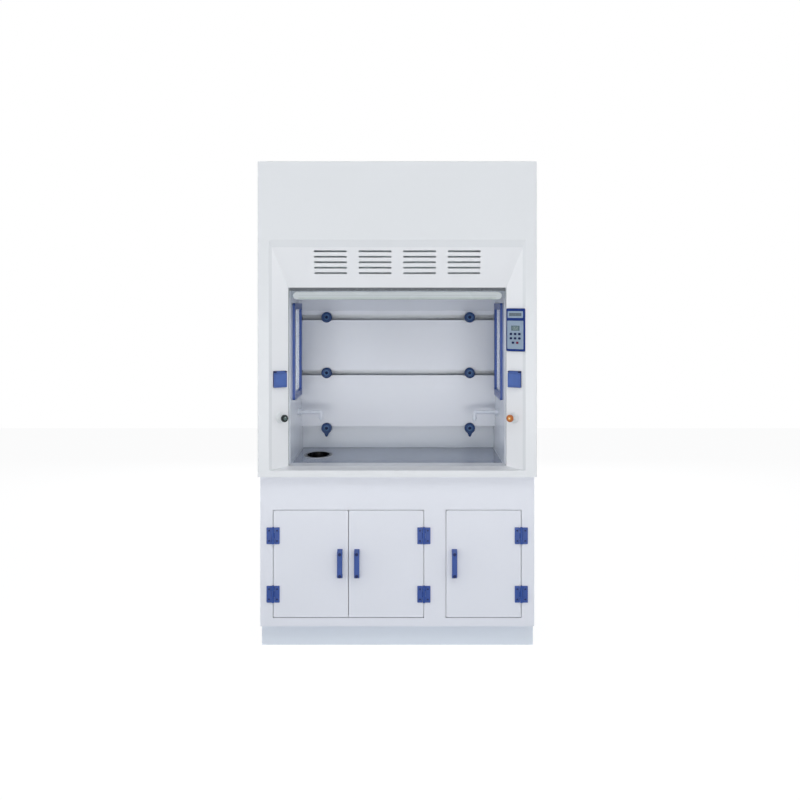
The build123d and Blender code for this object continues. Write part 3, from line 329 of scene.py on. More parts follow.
WELD_BEAD = weld_bead_nodes()


def place_piece(name, mesh, body):
    """New piece that rides on a body."""
    piece = bpy.data.objects.new(name, mesh)
    bpy.context.collection.objects.link(piece)
    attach(piece, body)


def grow(name, start, tree, values, body):
    """Runs a tree on a start mesh and keeps the result as a plain mesh on a body."""
    source = bpy.data.objects.new(name + "_start", start)
    bpy.context.collection.objects.link(source)
    modifier = source.modifiers.new(name, "NODES")
    modifier.node_group = tree
    for item in tree.interface.items_tree:
        if item.name in values:
            modifier[item.identifier] = values[item.name]
    grown = source.evaluated_get(bpy.context.evaluated_depsgraph_get())
    mesh = bpy.data.meshes.new_from_object(grown)
    source.modifiers.remove(modifier)
    bpy.data.objects.remove(source)
    mesh.name = name
    place_piece(name, mesh, body)


def lines_mesh(name, lines):
    """Mesh of separate lines; each is its points and whether it closes."""
    points = []
    edges = []
    for line, closed in lines:
        first = len(points)
        points += line
        edges += [(first + step, first + step + 1) for step in range(len(line) - 1)]
        if closed:
            edges.append((len(points) - 1, first))
    mesh = bpy.data.meshes.new(name)
    mesh.from_pydata([tuple(point) for point in points], edges, [])
    return mesh


def weld(name, lines, material, radius=BEAD_RADIUS):
    """Weld beads along lines on the cabinet."""
    values = {"Radius": radius, "Ripple Pitch": RIPPLE_PITCH, "Ripple Depth": RIPPLE_DEPTH,
              "Material": material}
    grow(name, lines_mesh(name, lines), WELD_BEAD, values, "cabinet")


def across(x0, x1, y, z):
    """Open line from left to right."""
    return [(x0, y, z), (x1, y, z)], False


plinth_low, plinth_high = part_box("plinth")
base_low, base_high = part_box("base_front_frame")
carcass_low, carcass_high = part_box("base_carcass")
overhang_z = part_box("hood_side_panels")[0][2]
weld("plinth_welds", [across(plinth_low[0], plinth_high[0], plinth_low[1], carcass_low[2])], cabinet_sheet)
overhang_lines = [across(base_low[0], base_high[0], base_low[1], overhang_z)]
for side_x in (carcass_low[0], carcass_high[0]):
    overhang_lines.append(([(side_x, base_low[1], overhang_z), (side_x, carcass_high[1], overhang_z)], False))
weld("overhang_welds", overhang_lines, cabinet_sheet)

# Door seals.
# Soft white angle strips behind the edges of both door openings. The doors close against them,
# and they are what shows pale in the narrow gaps round the doors.
DOOR_GAP = 0.0024
SEAL_OVER_DOOR = 0.008
SEAL_OVER_FRAME = 0.006
SEAL_THICKNESS = 0.003
SEAL_CLEARANCE = 0.0005


def ring_faces(bm, rings, closed=False):
    """Walls between rings of equally many points."""
    pairs = list(zip(rings, rings[1:] + rings[:1])) if closed else list(zip(rings, rings[1:]))
    for lower, upper in pairs:
        for index in range(len(lower)):
            after = (index + 1) % len(lower)
            bm.faces.new((lower[index], lower[after], upper[after], upper[index]))


def mesh_of(bm, name, material):
    """Finished mesh with its doubles merged, its faces outwards and one material."""
    bmesh.ops.remove_doubles(bm, verts=bm.verts, dist=1e-7)
    bmesh.ops.recalc_face_normals(bm, faces=bm.faces)
    mesh = bpy.data.meshes.new(name)
    bm.to_mesh(mesh)
    bm.free()
    mesh.materials.append(material)
    return mesh


def door_seal(name, x0, x1, z0, z1, material):
    """Mitred angle strip round an opening: one leg behind the frame board, one behind the door."""
    board_rear = base_high[1]
    door_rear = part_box("door_left")[1][1] + SEAL_CLEARANCE
    rear = door_rear + SEAL_THICKNESS
    profile = [(-SEAL_OVER_DOOR, door_rear + SEAL_THICKNESS / 3), (-SEAL_OVER_DOOR * 0.9, door_rear),
               (SEAL_CLEARANCE, door_rear), (SEAL_CLEARANCE, board_rear), (SEAL_OVER_FRAME, board_rear),
               (SEAL_OVER_FRAME, rear), (-SEAL_OVER_DOOR, rear)]
    bm = bmesh.new()
    rings = [[bm.verts.new((x, y, z)) for x, z in ((x0 - out, z0 - out), (x1 + out, z0 - out),
                                                  (x1 + out, z1 + out), (x0 - out, z1 + out))]
             for out, y in profile]
    ring_faces(bm, rings, closed=True)
    place_piece(name, mesh_of(bm, name, material), "cabinet")


seal_vinyl = surface_material("seal_vinyl", SHEET_SURFACE,
                              {"Colour": srgb(236, 238, 240), "Smoothest": 0.5, "Roughest": 0.62})
for name, first, last in (("double_door_seal", "door_left", "door_middle"),
                          ("single_door_seal", "door_right", "door_right")):
    low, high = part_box(first)[0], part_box(last)[1]
    door_seal(name, low[0] - DOOR_GAP, high[0] + DOOR_GAP, low[2] - DOOR_GAP, high[2] + DOOR_GAP, seal_vinyl)

# Hinges and bow handles.
# Blue injection-moulded polypropylene. Each hinge leaf has two countersunk screws with dark blue heads,
# and each handle is bolted through its feet, with a round cap over each bolt; the caps' dark blue is partly
# painted shade at the handles' ends.
HINGE_LEAF_MIDDLE = 0.018
HINGE_SCREW_SPREAD = 0.023
HINGE_PIN_HEAD = 0.002
HINGE_HEIGHT = 0.075
HINGE_SCREW_RADIUS = 0.0042
HANDLE_WIDTH = 0.0235
HANDLE_CAP_SPREAD = 0.049
HANDLE_CAP_RADIUS = 0.0075
HINGE_LEAF_THICKNESS = 0.005
HEAD_SIDES = 20
FASTENER_SEED = 3
TO_THE_FRONT = (0, -1, 0)

MOULDED_SURFACE = plastic_surface_group("moulded_surface", 30, 90, 900)


def moulded_material(name, colour, smoothest=0.3, roughest=0.42, darkest=0.92, **shader_values):
    """Moulded plastic of one colour."""
    values = {"Colour": srgb(*colour), "Darkest": darkest, "Smoothest": smoothest, "Roughest": roughest}
    return surface_material(name, MOULDED_SURFACE, values, **shader_values)


def circle(bm, radius, height, sides=HEAD_SIDES):
    """Ring of points about the origin."""
    angles = [2 * math.pi * index / sides for index in range(sides)]
    return [bm.verts.new((radius * math.cos(angle), radius * math.sin(angle), height)) for angle in angles]


def pattern_head(bm, name):
    """Head of unit radius, seated at the origin and facing up, for the fastener tree to copy."""
    bmesh.ops.recalc_face_normals(bm, faces=bm.faces)
    mesh = bpy.data.meshes.new(name)
    bm.to_mesh(mesh)
    bm.free()
    head = bpy.data.objects.new(name, mesh)
    bpy.context.collection.objects.link(head)
    return head


def screw_head(name, rise, recess_reach, recess_half, recess_depth):
    """Screw head with a bevelled rim and a cross recess."""
    bm = bmesh.new()
    rims = [circle(bm, 1, -rise / 4), circle(bm, 1, rise * 0.45), circle(bm, 0.8, rise)]
    ring_faces(bm, rims)
    bm.faces.new(reversed(rims[0]))
    corners = []
    for quarter in range(4):
        turn = math.pi / 2 * quarter
        for x, y in ((recess_reach, -recess_half), (recess_reach, recess_half), (recess_half, recess_half)):
            corners.append((x * math.cos(turn) - y * math.sin(turn), x * math.sin(turn) + y * math.cos(turn)))
    mouth = [bm.verts.new((x, y, rise)) for x, y in corners]
    bottom = [bm.verts.new((x * 0.8, y * 0.8, rise - recess_depth)) for x, y in corners]
    ring_faces(bm, [mouth, bottom])
    bm.faces.new(bottom)
    top = set(mouth + rims[-1])
    edges = [edge for edge in bm.edges if edge.verts[0] in top and edge.verts[1] in top]
    bmesh.ops.triangle_fill(bm, use_beauty=True, use_dissolve=False, edges=edges)
    return pattern_head(bm, name)


def fastener_nodes():
    """Copies of a head on points, each along its point's facing and turned at random about it."""
    tree, given, result = new_nodes("fasteners", [
        ("Head", "NodeSocketObject"), ("Size", "NodeSocketFloat"), ("Seed", "NodeSocketInt"),
        ("Material", "NodeSocketMaterial")])
    head = tree.nodes.new("GeometryNodeObjectInfo")
    tree.links.new(given.outputs["Head"], head.inputs["Object"])
    facing = tree.nodes.new("GeometryNodeInputNamedAttribute")
    facing.data_type = "FLOAT_VECTOR"
    facing.inputs["Name"].default_value = "facing"
    upright = tree.nodes.new("FunctionNodeAlignRotationToVector")
    upright.axis = "Z"
    tree.links.new(facing.outputs["Attribute"], upright.inputs["Vector"])
    angle = tree.nodes.new("FunctionNodeRandomValue")
    angle.data_type = "FLOAT"
    turn_sockets = [socket for socket in angle.inputs if socket.name == "Max" and socket.type == "VALUE"]
    turn_sockets[0].default_value = 2 * math.pi
    tree.links.new(given.outputs["Seed"], angle.inputs["Seed"])
    spin = tree.nodes.new("FunctionNodeAxisAngleToRotation")
    spin.inputs["Axis"].default_value = (0, 0, 1)
    tree.links.new([socket for socket in angle.outputs if socket.type == "VALUE"][0], spin.inputs["Angle"])
    both = tree.nodes.new("FunctionNodeRotateRotation")
    both.rotation_space = "LOCAL"
    tree.links.new(upright.outputs["Rotation"], both.inputs["Rotation"])
    tree.links.new(spin.outputs["Rotation"], both.inputs["Rotate By"])
    copies = tree.nodes.new("GeometryNodeInstanceOnPoints")
    tree.links.new(given.outputs["Start"], copies.inputs["Points"])
    tree.links.new(head.outputs["Geometry"], copies.inputs["Instance"])
    tree.links.new(both.outputs["Rotation"], copies.inputs["Rotation"])
    tree.links.new(given.outputs["Size"], copies.inputs["Scale"])
    finish_nodes(tree, given, result, copies.outputs["Instances"])
    return tree


FASTENERS = fastener_nodes()


def fasten(name, places, head, size, body, material):
    """Heads on places, each given as its seat and the way it faces."""
    start = lines_mesh(name, [([place], False) for place, facing in places])
    facings = start.attributes.new("facing", "FLOAT_VECTOR", "POINT")
    for index, (place, facing) in enumerate(places):
        facings.data[index].vector = facing
    values = {"Head": head, "Size": size, "Seed": FASTENER_SEED, "Material": material}
    grow(name, start, FASTENERS, values, body)
    for polygon in bpy.data.objects[name].data.polygons:
        polygon.use_smooth = False


blue_moulding = moulded_material("blue_moulding", (40, 76, 153))
navy_moulding = moulded_material("navy_moulding", (16, 34, 90), 0.3, 0.4, Specular_IOR_Level=0.3)
dress(blue_moulding, "hinge_frame_leaves", "door_fittings_left", "door_fittings_middle",
      "door_fittings_right")

cross_head = screw_head("cross_head", rise=0.3, recess_reach=0.5, recess_half=0.13, recess_depth=0.28)
cap_head = screw_head("cap_head", rise=0.22, recess_reach=0.01, recess_half=0.004, recess_depth=0.004)


def joint_named(name):
    """A joint of the frame by its name."""
    return next(joint for joint in frame["joints"] if joint["name"] == name)


hinges_low, hinges_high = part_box("hinge_frame_leaves")
hinge_heights = (hinges_low[2] + HINGE_HEIGHT / 2, hinges_high[2] - HINGE_PIN_HEAD - HINGE_HEIGHT / 2)
leaf_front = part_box("door_left")[0][1] - HINGE_LEAF_THICKNESS
frame_screws = []
for door in ("left", "middle", "right"):
    axis_x = joint_named(door + "_door_hinge")["pos_m"][0]
    door_low, door_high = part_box("door_" + door)
    fittings_low, fittings_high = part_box("door_fittings_" + door)
    opens_right = (door_low[0] + door_high[0]) / 2 > axis_x
    leaf_reach = HINGE_LEAF_MIDDLE if opens_right else -HINGE_LEAF_MIDDLE
    heights = [height + way * HINGE_SCREW_SPREAD for height in hinge_heights for way in (-1, 1)]
    leaf_screws = [((axis_x + leaf_reach, leaf_front, height), TO_THE_FRONT) for height in heights]
    frame_screws += [((axis_x - leaf_reach, leaf_front, height), TO_THE_FRONT) for height in heights]
    fasten("hinge_screws_" + door, leaf_screws, cross_head, HINGE_SCREW_RADIUS, door + "_door",
           navy_moulding)
    handle_x = fittings_high[0] - HANDLE_WIDTH / 2 if opens_right else fittings_low[0] + HANDLE_WIDTH / 2
    middle_z = (door_low[2] + door_high[2]) / 2
    # Real bolt caps, whose dark navy is also painted shade at the handles' ends.
    caps = [((handle_x, fittings_low[1], middle_z + way * HANDLE_CAP_SPREAD), TO_THE_FRONT)
            for way in (-1, 1)]
    fasten("handle_caps_" + door, caps, cap_head, HANDLE_CAP_RADIUS, door + "_door",
           navy_moulding)
fasten("hinge_screws_frame", frame_screws, cross_head, HINGE_SCREW_RADIUS, "cabinet",
       navy_moulding)

# Worktop and sill.
# A cast grey resin slab with a polished top, and a white polypropylene sill in front of it.
# A bead of pale sealant closes the joint between the slab and the chamber all round.
SEALANT_RADIUS = 0.003

dress(sheet_material("worktop_resin", (129, 142, 168), 0.05, 0.09, 0.97), "worktop")
# The sill is coloured near white, lighter than the other white sheets: painted light on its top.
dress(sheet_material("sill_painted_light", (249, 251, 255), 0.14, 0.2), "sill")
sealant = moulded_material("sealant", (196, 202, 212), 0.24, 0.34, 0.95)
top_low, top_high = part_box("worktop")
seal_line = [(top_low[0], top_low[1], top_high[2]), (top_low[0], top_high[1], top_high[2]),
             (top_high[0], top_high[1], top_high[2]), (top_high[0], top_low[1], top_high[2])]
grow("worktop_sealant", lines_mesh("worktop_sealant", [(seal_line, True)]), WELD_BEAD,
     {"Radius": SEALANT_RADIUS, "Ripple Pitch": 0.02, "Ripple Depth": 0.05, "Material": sealant}, "cabinet")

# Cup sink and its trap.
# Black moulded polypropylene. The oval flange lies on the slab in a thin bead of clear sealant, coloured near
# white as a painted highlight of the flange's glossy rim, which shows brightest at both ends.
SINK_SEALANT_RADIUS = 0.002
SINK_SEALANT_STEPS = 96


def middle_from_above(low, high):
    """Middle of a box in plan."""
    return [(low[axis] + high[axis]) / 2 for axis in (0, 1)]


def oval(middle, reach, steps, height):
    """Points round a level oval."""
    turns = [2 * math.pi * step / steps for step in range(steps)]
    return [(middle[0] + reach[0] * math.cos(turn), middle[1] + reach[1] * math.sin(turn), height)
            for turn in turns]


black_moulding = moulded_material("black_moulding", (6, 7, 8), 0.2, 0.3, Specular_IOR_Level=0.25)
dress(black_moulding, "cup_sink", "sink_trap")
# A real sealant bead, whose near-white colour is a painted highlight of the flange's rim.
sealant_painted_highlight = moulded_material("sealant_painted_highlight", (236, 240, 246), 0.1, 0.16, 0.96)
sink_low, sink_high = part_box("cup_sink")
sink_reach = [(sink_high[axis] - sink_low[axis]) / 2 for axis in (0, 1)]
sink_line = oval(middle_from_above(sink_low, sink_high), sink_reach, SINK_SEALANT_STEPS, top_high[2])
grow("sink_sealant", lines_mesh("sink_sealant", [(sink_line, True)]), WELD_BEAD,
     {"Radius": SINK_SEALANT_RADIUS, "Ripple Pitch": 0.03, "Ripple Depth": 0.08, "Material": sealant_painted_highlight},
     "cabinet")

# Chamber and baffles.
# White polypropylene sheets, with weld beads in the rear corners. The baffle sheets stand on blue
# standoff knobs. Each knob has a paler blue ring round its hole, a painted highlight of its rim, and a screw
# at the hole's bottom whose dark navy head fills the hole: partly a real screw, partly painted shade of the
# hole.
HOLDER_RADIUS = 0.0265
HOLDER_ROUND = 0.005
HOLDER_HOLE_DEPTH = 0.012
HOLDER_SCREW_RADIUS = 0.0078
HOLDER_FACE_TOLERANCE = 0.0003
HUB_RING_RADIUS = 0.0142
ROW_SPLIT = 0.1
BEAD_BELOW_CEILING = 0.01


def ring_head(name, hole):
    """Low rounded ring round a hole."""
    bm = bmesh.new()
    sides = 2 * HEAD_SIDES
    rings = [circle(bm, radius, rise, sides) for radius, rise in
             ((hole, -0.02), (hole, 0.06), (hole + 0.06, 0.09), (0.92, 0.09), (1, 0.05), (1, -0.02))]
    ring_faces(bm, rings, closed=True)
    return pattern_head(bm, name)


chamber_sheet = sheet_material("chamber_sheet", (234, 239, 247), 0.18, 0.24)
dress(chamber_sheet, "chamber_side_walls")
dress(sheet_material("baffle_sheet", (225, 229, 237), 0.2, 0.26), "baffles")
# The back wall is a lighter copy of the chamber's white sheet: painted light on the wall behind and below the
# baffles.
dress(sheet_material("chamber_back_painted_light", (242, 248, 255), 0.2, 0.26), "chamber_shell")
holder_moulding = moulded_material("holder_moulding", (10, 58, 112), 0.26, 0.36, Specular_IOR_Level=0.2)
dress(holder_moulding, "baffle_holders")
ceiling_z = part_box("chamber_side_walls")[1][2]
rear_corners = [([(x, top_high[1], z) for z in (top_high[2], ceiling_z - BEAD_BELOW_CEILING)], False)
                for x in (top_low[0], top_high[0])]
weld("chamber_welds", rear_corners, chamber_sheet)
holders_low, holders_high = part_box("baffle_holders")
front_points = [vertex.co for vertex in frame["nodes"]["baffle_holders"].data.vertices
                if vertex.co.y < holders_low[1] + HOLDER_FACE_TOLERANCE]
row_tops = []
for height in sorted((point.z for point in front_points), reverse=True):
    if not row_tops or height < row_tops[-1] - ROW_SPLIT:
        row_tops.append(height)
holder_x = holders_high[0] - HOLDER_RADIUS
holder_screws = [((x, holders_low[1] + HOLDER_HOLE_DEPTH, top - HOLDER_RADIUS + HOLDER_ROUND), TO_THE_FRONT)
                 for top in row_tops for x in (-holder_x, holder_x)]
# The screw heads fill the holes, and their dark navy is painted shade of the holes over real screws.
steel_painted_hole_shade = moulded_material("steel_painted_hole_shade", (6, 36, 84), 0.4, 0.5, 0.9, Specular_IOR_Level=0.1)
fasten("holder_screws", holder_screws, cross_head, HOLDER_SCREW_RADIUS, "cabinet", steel_painted_hole_shade)
# The rings are a paler copy of the knobs' blue: painted highlight on the lit rim round each hole.
hub_rings = [((x, holders_low[1], z), facing) for (x, y, z), facing in holder_screws]
hub_ring = ring_head("hub_ring", 0.6)
fasten("holder_hub_rings", hub_rings, hub_ring, HUB_RING_RADIUS, "cabinet",
       moulded_material("rim_painted_highlight_blue", (48, 98, 150), 0.3, 0.4, Specular_IOR_Level=0.3))

# Side windows.
# Clear panes in blue frames, screwed on from inside with steel countersunk screws. White boards line
# the space between each inner pane and its outer one.
WINDOW_BAR_MIDDLE = 0.015
WINDOW_SCREW_RADIUS = 0.0036
WINDOW_FRAME_THICKNESS = 0.012


def glass_film_group():
    """Film on glass: very faint smears in its tint and its gloss."""
    tree, given, result = new_group(
        "glass_film", [("Tint", "NodeSocketColor", (1, 1, 1, 1)), ("Smear", "NodeSocketFloat", 0.97)],
        [("Tint", "NodeSocketColor"), ("Roughness", "NodeSocketFloat")])
    place = tree.nodes.new("ShaderNodeTexCoord").outputs["Object"]
    smears = noise(tree, place, 3.5, 3)
    tinted = tree.nodes.new("ShaderNodeVectorMath")
    tinted.operation = "SCALE"
    tree.links.new(given.outputs["Tint"], tinted.inputs[0])
    tree.links.new(ranged(tree, smears, given.outputs["Smear"], 1), tinted.inputs["Scale"])
    tree.links.new(tinted.outputs["Vector"], result.inputs["Tint"])
    tree.links.new(ranged(tree, smears, 0.035, 0.01), result.inputs["Roughness"])
    return tree


GLASS_FILM = glass_film_group()


def clear_glass(name, tint, ior, smear=0.97, clarity=1):
    """Clear plate that lets shadow rays through; under a clarity of 1 it is a little milky."""
    material = bpy.data.materials.new(name)
    material.use_nodes = True
    tree = material.node_tree
    glass = tree.nodes["Principled BSDF"]
    film = tree.nodes.new("ShaderNodeGroup")
    film.node_tree = GLASS_FILM
    film.inputs["Tint"].default_value = tint
    film.inputs["Smear"].default_value = smear
    tree.links.new(film.outputs["Tint"], glass.inputs["Base Color"])
    tree.links.new(film.outputs["Roughness"], glass.inputs["Roughness"])
    glass.inputs["IOR"].default_value = ior
    glass.inputs["Transmission Weight"].default_value = clarity
    clear = tree.nodes.new("ShaderNodeBsdfTransparent")
    rays = tree.nodes.new("ShaderNodeLightPath")
    mix_surface(tree, rays.outputs["Is Shadow Ray"], glass, clear, tree.nodes["Material Output"])
    return material


dress(blue_moulding, "window_frames")
dress(clear_glass("window_glass", (0.98, 0.99, 1, 1), 1.03, 0.99, 0.8), "window_panes")
frames_low, frames_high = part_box("window_frames")
front_bar = frames_low[1] + WINDOW_BAR_MIDDLE
rear_bar = frames_high[1] - WINDOW_BAR_MIDDLE
low_bar = frames_low[2] + WINDOW_BAR_MIDDLE
high_bar = frames_high[2] - WINDOW_BAR_MIDDLE
window_screws = []
for side in (-1, 1):
    face_x = side * (top_high[0] - WINDOW_FRAME_THICKNESS)
    for step in range(4):
        height = low_bar + (high_bar - low_bar) * step / 3
        window_screws += [((face_x, y, height), (-side, 0, 0)) for y in (front_bar, rear_bar)]
    for height in (low_bar, high_bar):
        window_screws.append(((face_x, (front_bar + rear_bar) / 2, height), (-side, 0, 0)))
zinc_steel = moulded_material("zinc_steel", (168, 170, 174), 0.3, 0.4, Metallic=1.0)
fasten("window_screws", window_screws, cross_head, WINDOW_SCREW_RADIUS, "cabinet", zinc_steel)

# Lamp.
# White enamelled tray with two tubes above the ceiling, behind a glass that seals the chamber.
dress(moulded_material("lamp_enamel", (236, 238, 238)), "lamp")
dress(clear_glass("lamp_glass", (0.95, 0.98, 0.97, 1), 1.45), "lamp_cover")

# Hood shell.
# White polypropylene sheets with a funnel of mitred facings round the opening. The roof panel is welded
# in between the front, the sides and the back, and the exhaust collar's flange is welded to the roof.
ROOF_BEAD_RADIUS = 0.002
ROOF_REAR_SETBACK = 0.01
COLLAR_STEPS = 120

hood_sheet = sheet_material("hood_sheet", (223, 226, 229))
dress(hood_sheet, "front_sheet", "hood_side_panels", "hood_top_panel", "hood_back_panel", "exhaust_collar")
# The facings and the vent facing are lighter copies of the hood's white sheet: painted light that evens out
# the shade on faces turned down and sideways.
dress(sheet_material("facing_painted_light", (234, 236, 239)), "facings")
dress(sheet_material("vent_painted_light", (231, 233, 236)), "vent_facing")
roof_low, roof_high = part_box("hood_top_panel")
roof_rear = roof_high[1] - ROOF_REAR_SETBACK
roof_line = [(x, y, roof_high[2]) for x, y in ((roof_low[0], roof_low[1]), (roof_high[0], roof_low[1]),
                                               (roof_high[0], roof_rear), (roof_low[0], roof_rear))]
collar_low, collar_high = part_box("exhaust_collar")
collar_reach = (collar_high[0] - collar_low[0]) / 2
collar_line = oval(middle_from_above(collar_low, collar_high), (collar_reach, collar_reach), COLLAR_STEPS,
                   roof_high[2])
weld("roof_welds", [(roof_line, True), (collar_line, True)], hood_sheet,
     ROOF_BEAD_RADIUS)

# Sash, its guides and the brush over it.
# Two glass panes in slotted grey plastic strips; the strips' grey is partly painted shade along the guides.
# The lifting
# rail is an extrusion with a fine groove along its middle and a soft strip along its lower edge, both drawn
# as darker strips:
# painted shade of the groove and of the rail's underside. A grey brush behind the top facing seals against
# the front pane;
# its grey is partly painted shade of the gap over the rail.
RAIL_GROOVE_HEIGHT = 0.0014
RAIL_STRIP_HEIGHT = 0.0045
RAIL_STRIP_DROP = 0.0112
RAIL_END = 0.024
BRUSH_TOP_RISE = 0.006
BRUSH_HOLDER_DEPTH = 0.004
BRUSH_HOLDER_HEIGHT = 0.009
BRUSH_TIP_CLEARANCE = 0.0035
BRUSH_PAST_RAIL = 0.014
BRUSH_HOLDER_PAST_RAIL = 0.015
BRUSH_ROWS = 3
BRISTLE_PITCH = 0.0011
BRISTLE_RADIUS = 0.0007
BRISTLE_LEAN = 0.14
BRISTLE_FORWARD_SHARE = 0.4
EDGE_STEPS = 3


def rounded_outline(width, height, corner):
    """Points of a rounded rectangle about the origin, anticlockwise."""
    points = []
    steps = 6
    for index, (x_way, y_way) in enumerate(((1, 1), (-1, 1), (-1, -1), (1, -1))):
        for step in range(steps + 1):
            angle = math.pi / 2 * (index + step / steps)
            points.append((x_way * (width / 2 - corner) + corner * math.cos(angle),
                           y_way * (height / 2 - corner) + corner * math.sin(angle)))
    return points


def seat_on(node, outward):
    """Middle of a node's outermost face along a direction, with the level, rising and outward axes."""
    outward = Vector(outward).normalized()
    level = Vector((0, 0, 1)).cross(outward)
    rising = outward.cross(level)
    points = [vertex.co for vertex in frame["nodes"][node].data.vertices]
    middle = [(min(axis.dot(point) for point in points) + max(axis.dot(point) for point in points)) / 2
              for axis in (level, rising)]
    front = max(outward.dot(point) for point in points)
    return level * middle[0] + rising * middle[1] + outward * front, level, rising, outward


def pad(name, seat, width, height, corner, low, high, soft, body, slot, material, shift=(0, 0)):
    """Rounded plate on a seat, between two distances from it, with a soft front edge."""
    middle, level, rising, outward = seat
    levels = [(0, low), (0, high - soft)]
    for step in range(1, EDGE_STEPS + 1):
        angle = math.pi / 2 * step / EDGE_STEPS
        levels.append((soft * (1 - math.cos(angle)), high - soft + soft * math.sin(angle)))
    bm = bmesh.new()
    rings = []
    for inset, rise in levels:
        outline = rounded_outline(width - 2 * inset, height - 2 * inset, max(corner - inset, 1e-5))
        rings.append([bm.verts.new(middle + level * (x + shift[0]) + rising * (y + shift[1]) + outward * rise)
                      for x, y in outline])
    ring_faces(bm, rings)
    bm.faces.new(rings[0])
    bm.faces.new(rings[-1])
    place_piece(name, mesh_of(bm, name, material), body)


# The guides' dark grey is partly their own colour and partly painted shade along the edges of the opening.
dress(sheet_material("guide_painted_shade", (138, 142, 150), 0.3, 0.4), "sash_guides")
dress(clear_glass("sash_glass", (0.9, 0.94, 0.94, 1), 1.3), "lower_sash_glass", "upper_sash_glass")
dress(sheet_material("rail_extrusion", (187, 194, 197), 0.2, 0.3), "sash_handle_rail")
rail_seat = seat_on("sash_handle_rail", TO_THE_FRONT)
rail_low, rail_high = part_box("sash_handle_rail")
rail_reach = rail_high[0] - rail_low[0] - 2 * RAIL_END
# Both strips are darker than the rail: painted shade of its middle groove and of its underside.
pad("rail_groove_strip", rail_seat, rail_reach, RAIL_GROOVE_HEIGHT, RAIL_GROOVE_HEIGHT / 2, -0.0003, 0.0002,
    0.0001, "lower_sash", "rail_polypropylene", moulded_material("painted_groove_shade", (158, 166, 170)))
pad("rail_lower_strip", rail_seat, rail_reach, RAIL_STRIP_HEIGHT, RAIL_STRIP_HEIGHT / 2, -0.0003, 0.0004,
    0.0002, "lower_sash", "rail_polypropylene", moulded_material("painted_lower_edge_shade", (160, 172, 168)),
    (0, -RAIL_STRIP_DROP))


def brush_nodes():
    """Thin cones hanging along a line, each leaning a little at random."""
    tree, given, result = new_nodes("brush", [
        ("Pitch", "NodeSocketFloat"), ("Length", "NodeSocketFloat"), ("Radius", "NodeSocketFloat"),
        ("Lean", "NodeSocketFloat"), ("Seed", "NodeSocketInt"), ("Material", "NodeSocketMaterial")])
    line = tree.nodes.new("GeometryNodeMeshToCurve")
    tree.links.new(given.outputs["Start"], line.inputs["Mesh"])
    steps = tree.nodes.new("GeometryNodeResampleCurve")
    steps.mode = "LENGTH"
    tree.links.new(line.outputs["Curve"], steps.inputs["Curve"])
    tree.links.new(given.outputs["Pitch"], steps.inputs["Length"])
    bristle = tree.nodes.new("GeometryNodeMeshCone")
    bristle.inputs["Vertices"].default_value = 4
    tree.links.new(maths(tree, "MULTIPLY", given.outputs["Radius"], 0.5), bristle.inputs["Radius Top"])
    tree.links.new(given.outputs["Radius"], bristle.inputs["Radius Bottom"])
    tree.links.new(given.outputs["Length"], bristle.inputs["Depth"])
    lean = tree.nodes.new("FunctionNodeRandomValue")
    lean.data_type = "FLOAT_VECTOR"
    for label, sign in (("Min", -1), ("Max", 1)):
        ends = tree.nodes.new("ShaderNodeCombineXYZ")
        forward = maths(tree, "MULTIPLY", given.outputs["Lean"], sign * BRISTLE_FORWARD_SHARE)
        tree.links.new(maths(tree, "ADD", forward, math.pi), ends.inputs["X"])
        tree.links.new(maths(tree, "MULTIPLY", given.outputs["Lean"], sign), ends.inputs["Y"])
        tree.links.new(ends.outputs[0], [socket for socket in lean.inputs
                                         if socket.name == label and socket.type == "VECTOR"][0])
    tree.links.new(given.outputs["Seed"], lean.inputs["Seed"])
    turn = tree.nodes.new("FunctionNodeEulerToRotation")
    tree.links.new([socket for socket in lean.outputs if socket.type == "VECTOR"][0], turn.inputs["Euler"])
    copies = tree.nodes.new("GeometryNodeInstanceOnPoints")
    tree.links.new(steps.outputs["Curve"], copies.inputs["Points"])
    tree.links.new(bristle.outputs["Mesh"], copies.inputs["Instance"])
    tree.links.new(turn.outputs["Rotation"], copies.inputs["Rotation"])
    finish_nodes(tree, given, result, copies.outputs["Instances"])
    return tree


# The brush and its holder are real nylon parts, and their grey is also painted shade of the gap between the
# top facing and the rail.
brush_grey_painted_shade = moulded_material("brush_grey_painted_shade", (138, 142, 147), 0.5, 0.6)
facing_low, facing_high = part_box("vent_facing")
brush_rear = facing_high[1] + BRUSH_HOLDER_DEPTH
brush_root = facing_low[2] + BRUSH_TOP_RISE
bristle_length = brush_root - rail_high[2] - BRUSH_TIP_CLEARANCE
brush_lines = [across(rail_low[0] - BRUSH_PAST_RAIL, rail_high[0] + BRUSH_PAST_RAIL,
                      brush_rear + row * BRISTLE_PITCH, brush_root) for row in range(BRUSH_ROWS)]
grow("header_brush", lines_mesh("header_brush", brush_lines), brush_nodes(),
     {"Pitch": BRISTLE_PITCH, "Length": bristle_length, "Radius": BRISTLE_RADIUS, "Lean": BRISTLE_LEAN,
      "Seed": 5, "Material": brush_grey_painted_shade}, "cabinet")
holder_seat = (Vector((0, brush_rear, brush_root + BRUSH_HOLDER_HEIGHT / 2 - 0.001)), Vector((1, 0, 0)),
               Vector((0, 0, 1)), Vector((0, -1, 0)))
pad("header_brush_holder", holder_seat, rail_high[0] - rail_low[0] + 2 * BRUSH_HOLDER_PAST_RAIL,
    BRUSH_HOLDER_HEIGHT, 0.001, -BRUSH_ROWS * BRISTLE_PITCH, BRUSH_HOLDER_DEPTH, 0.0008, "cabinet",
    "black_polypropylene", brush_grey_painted_shade)

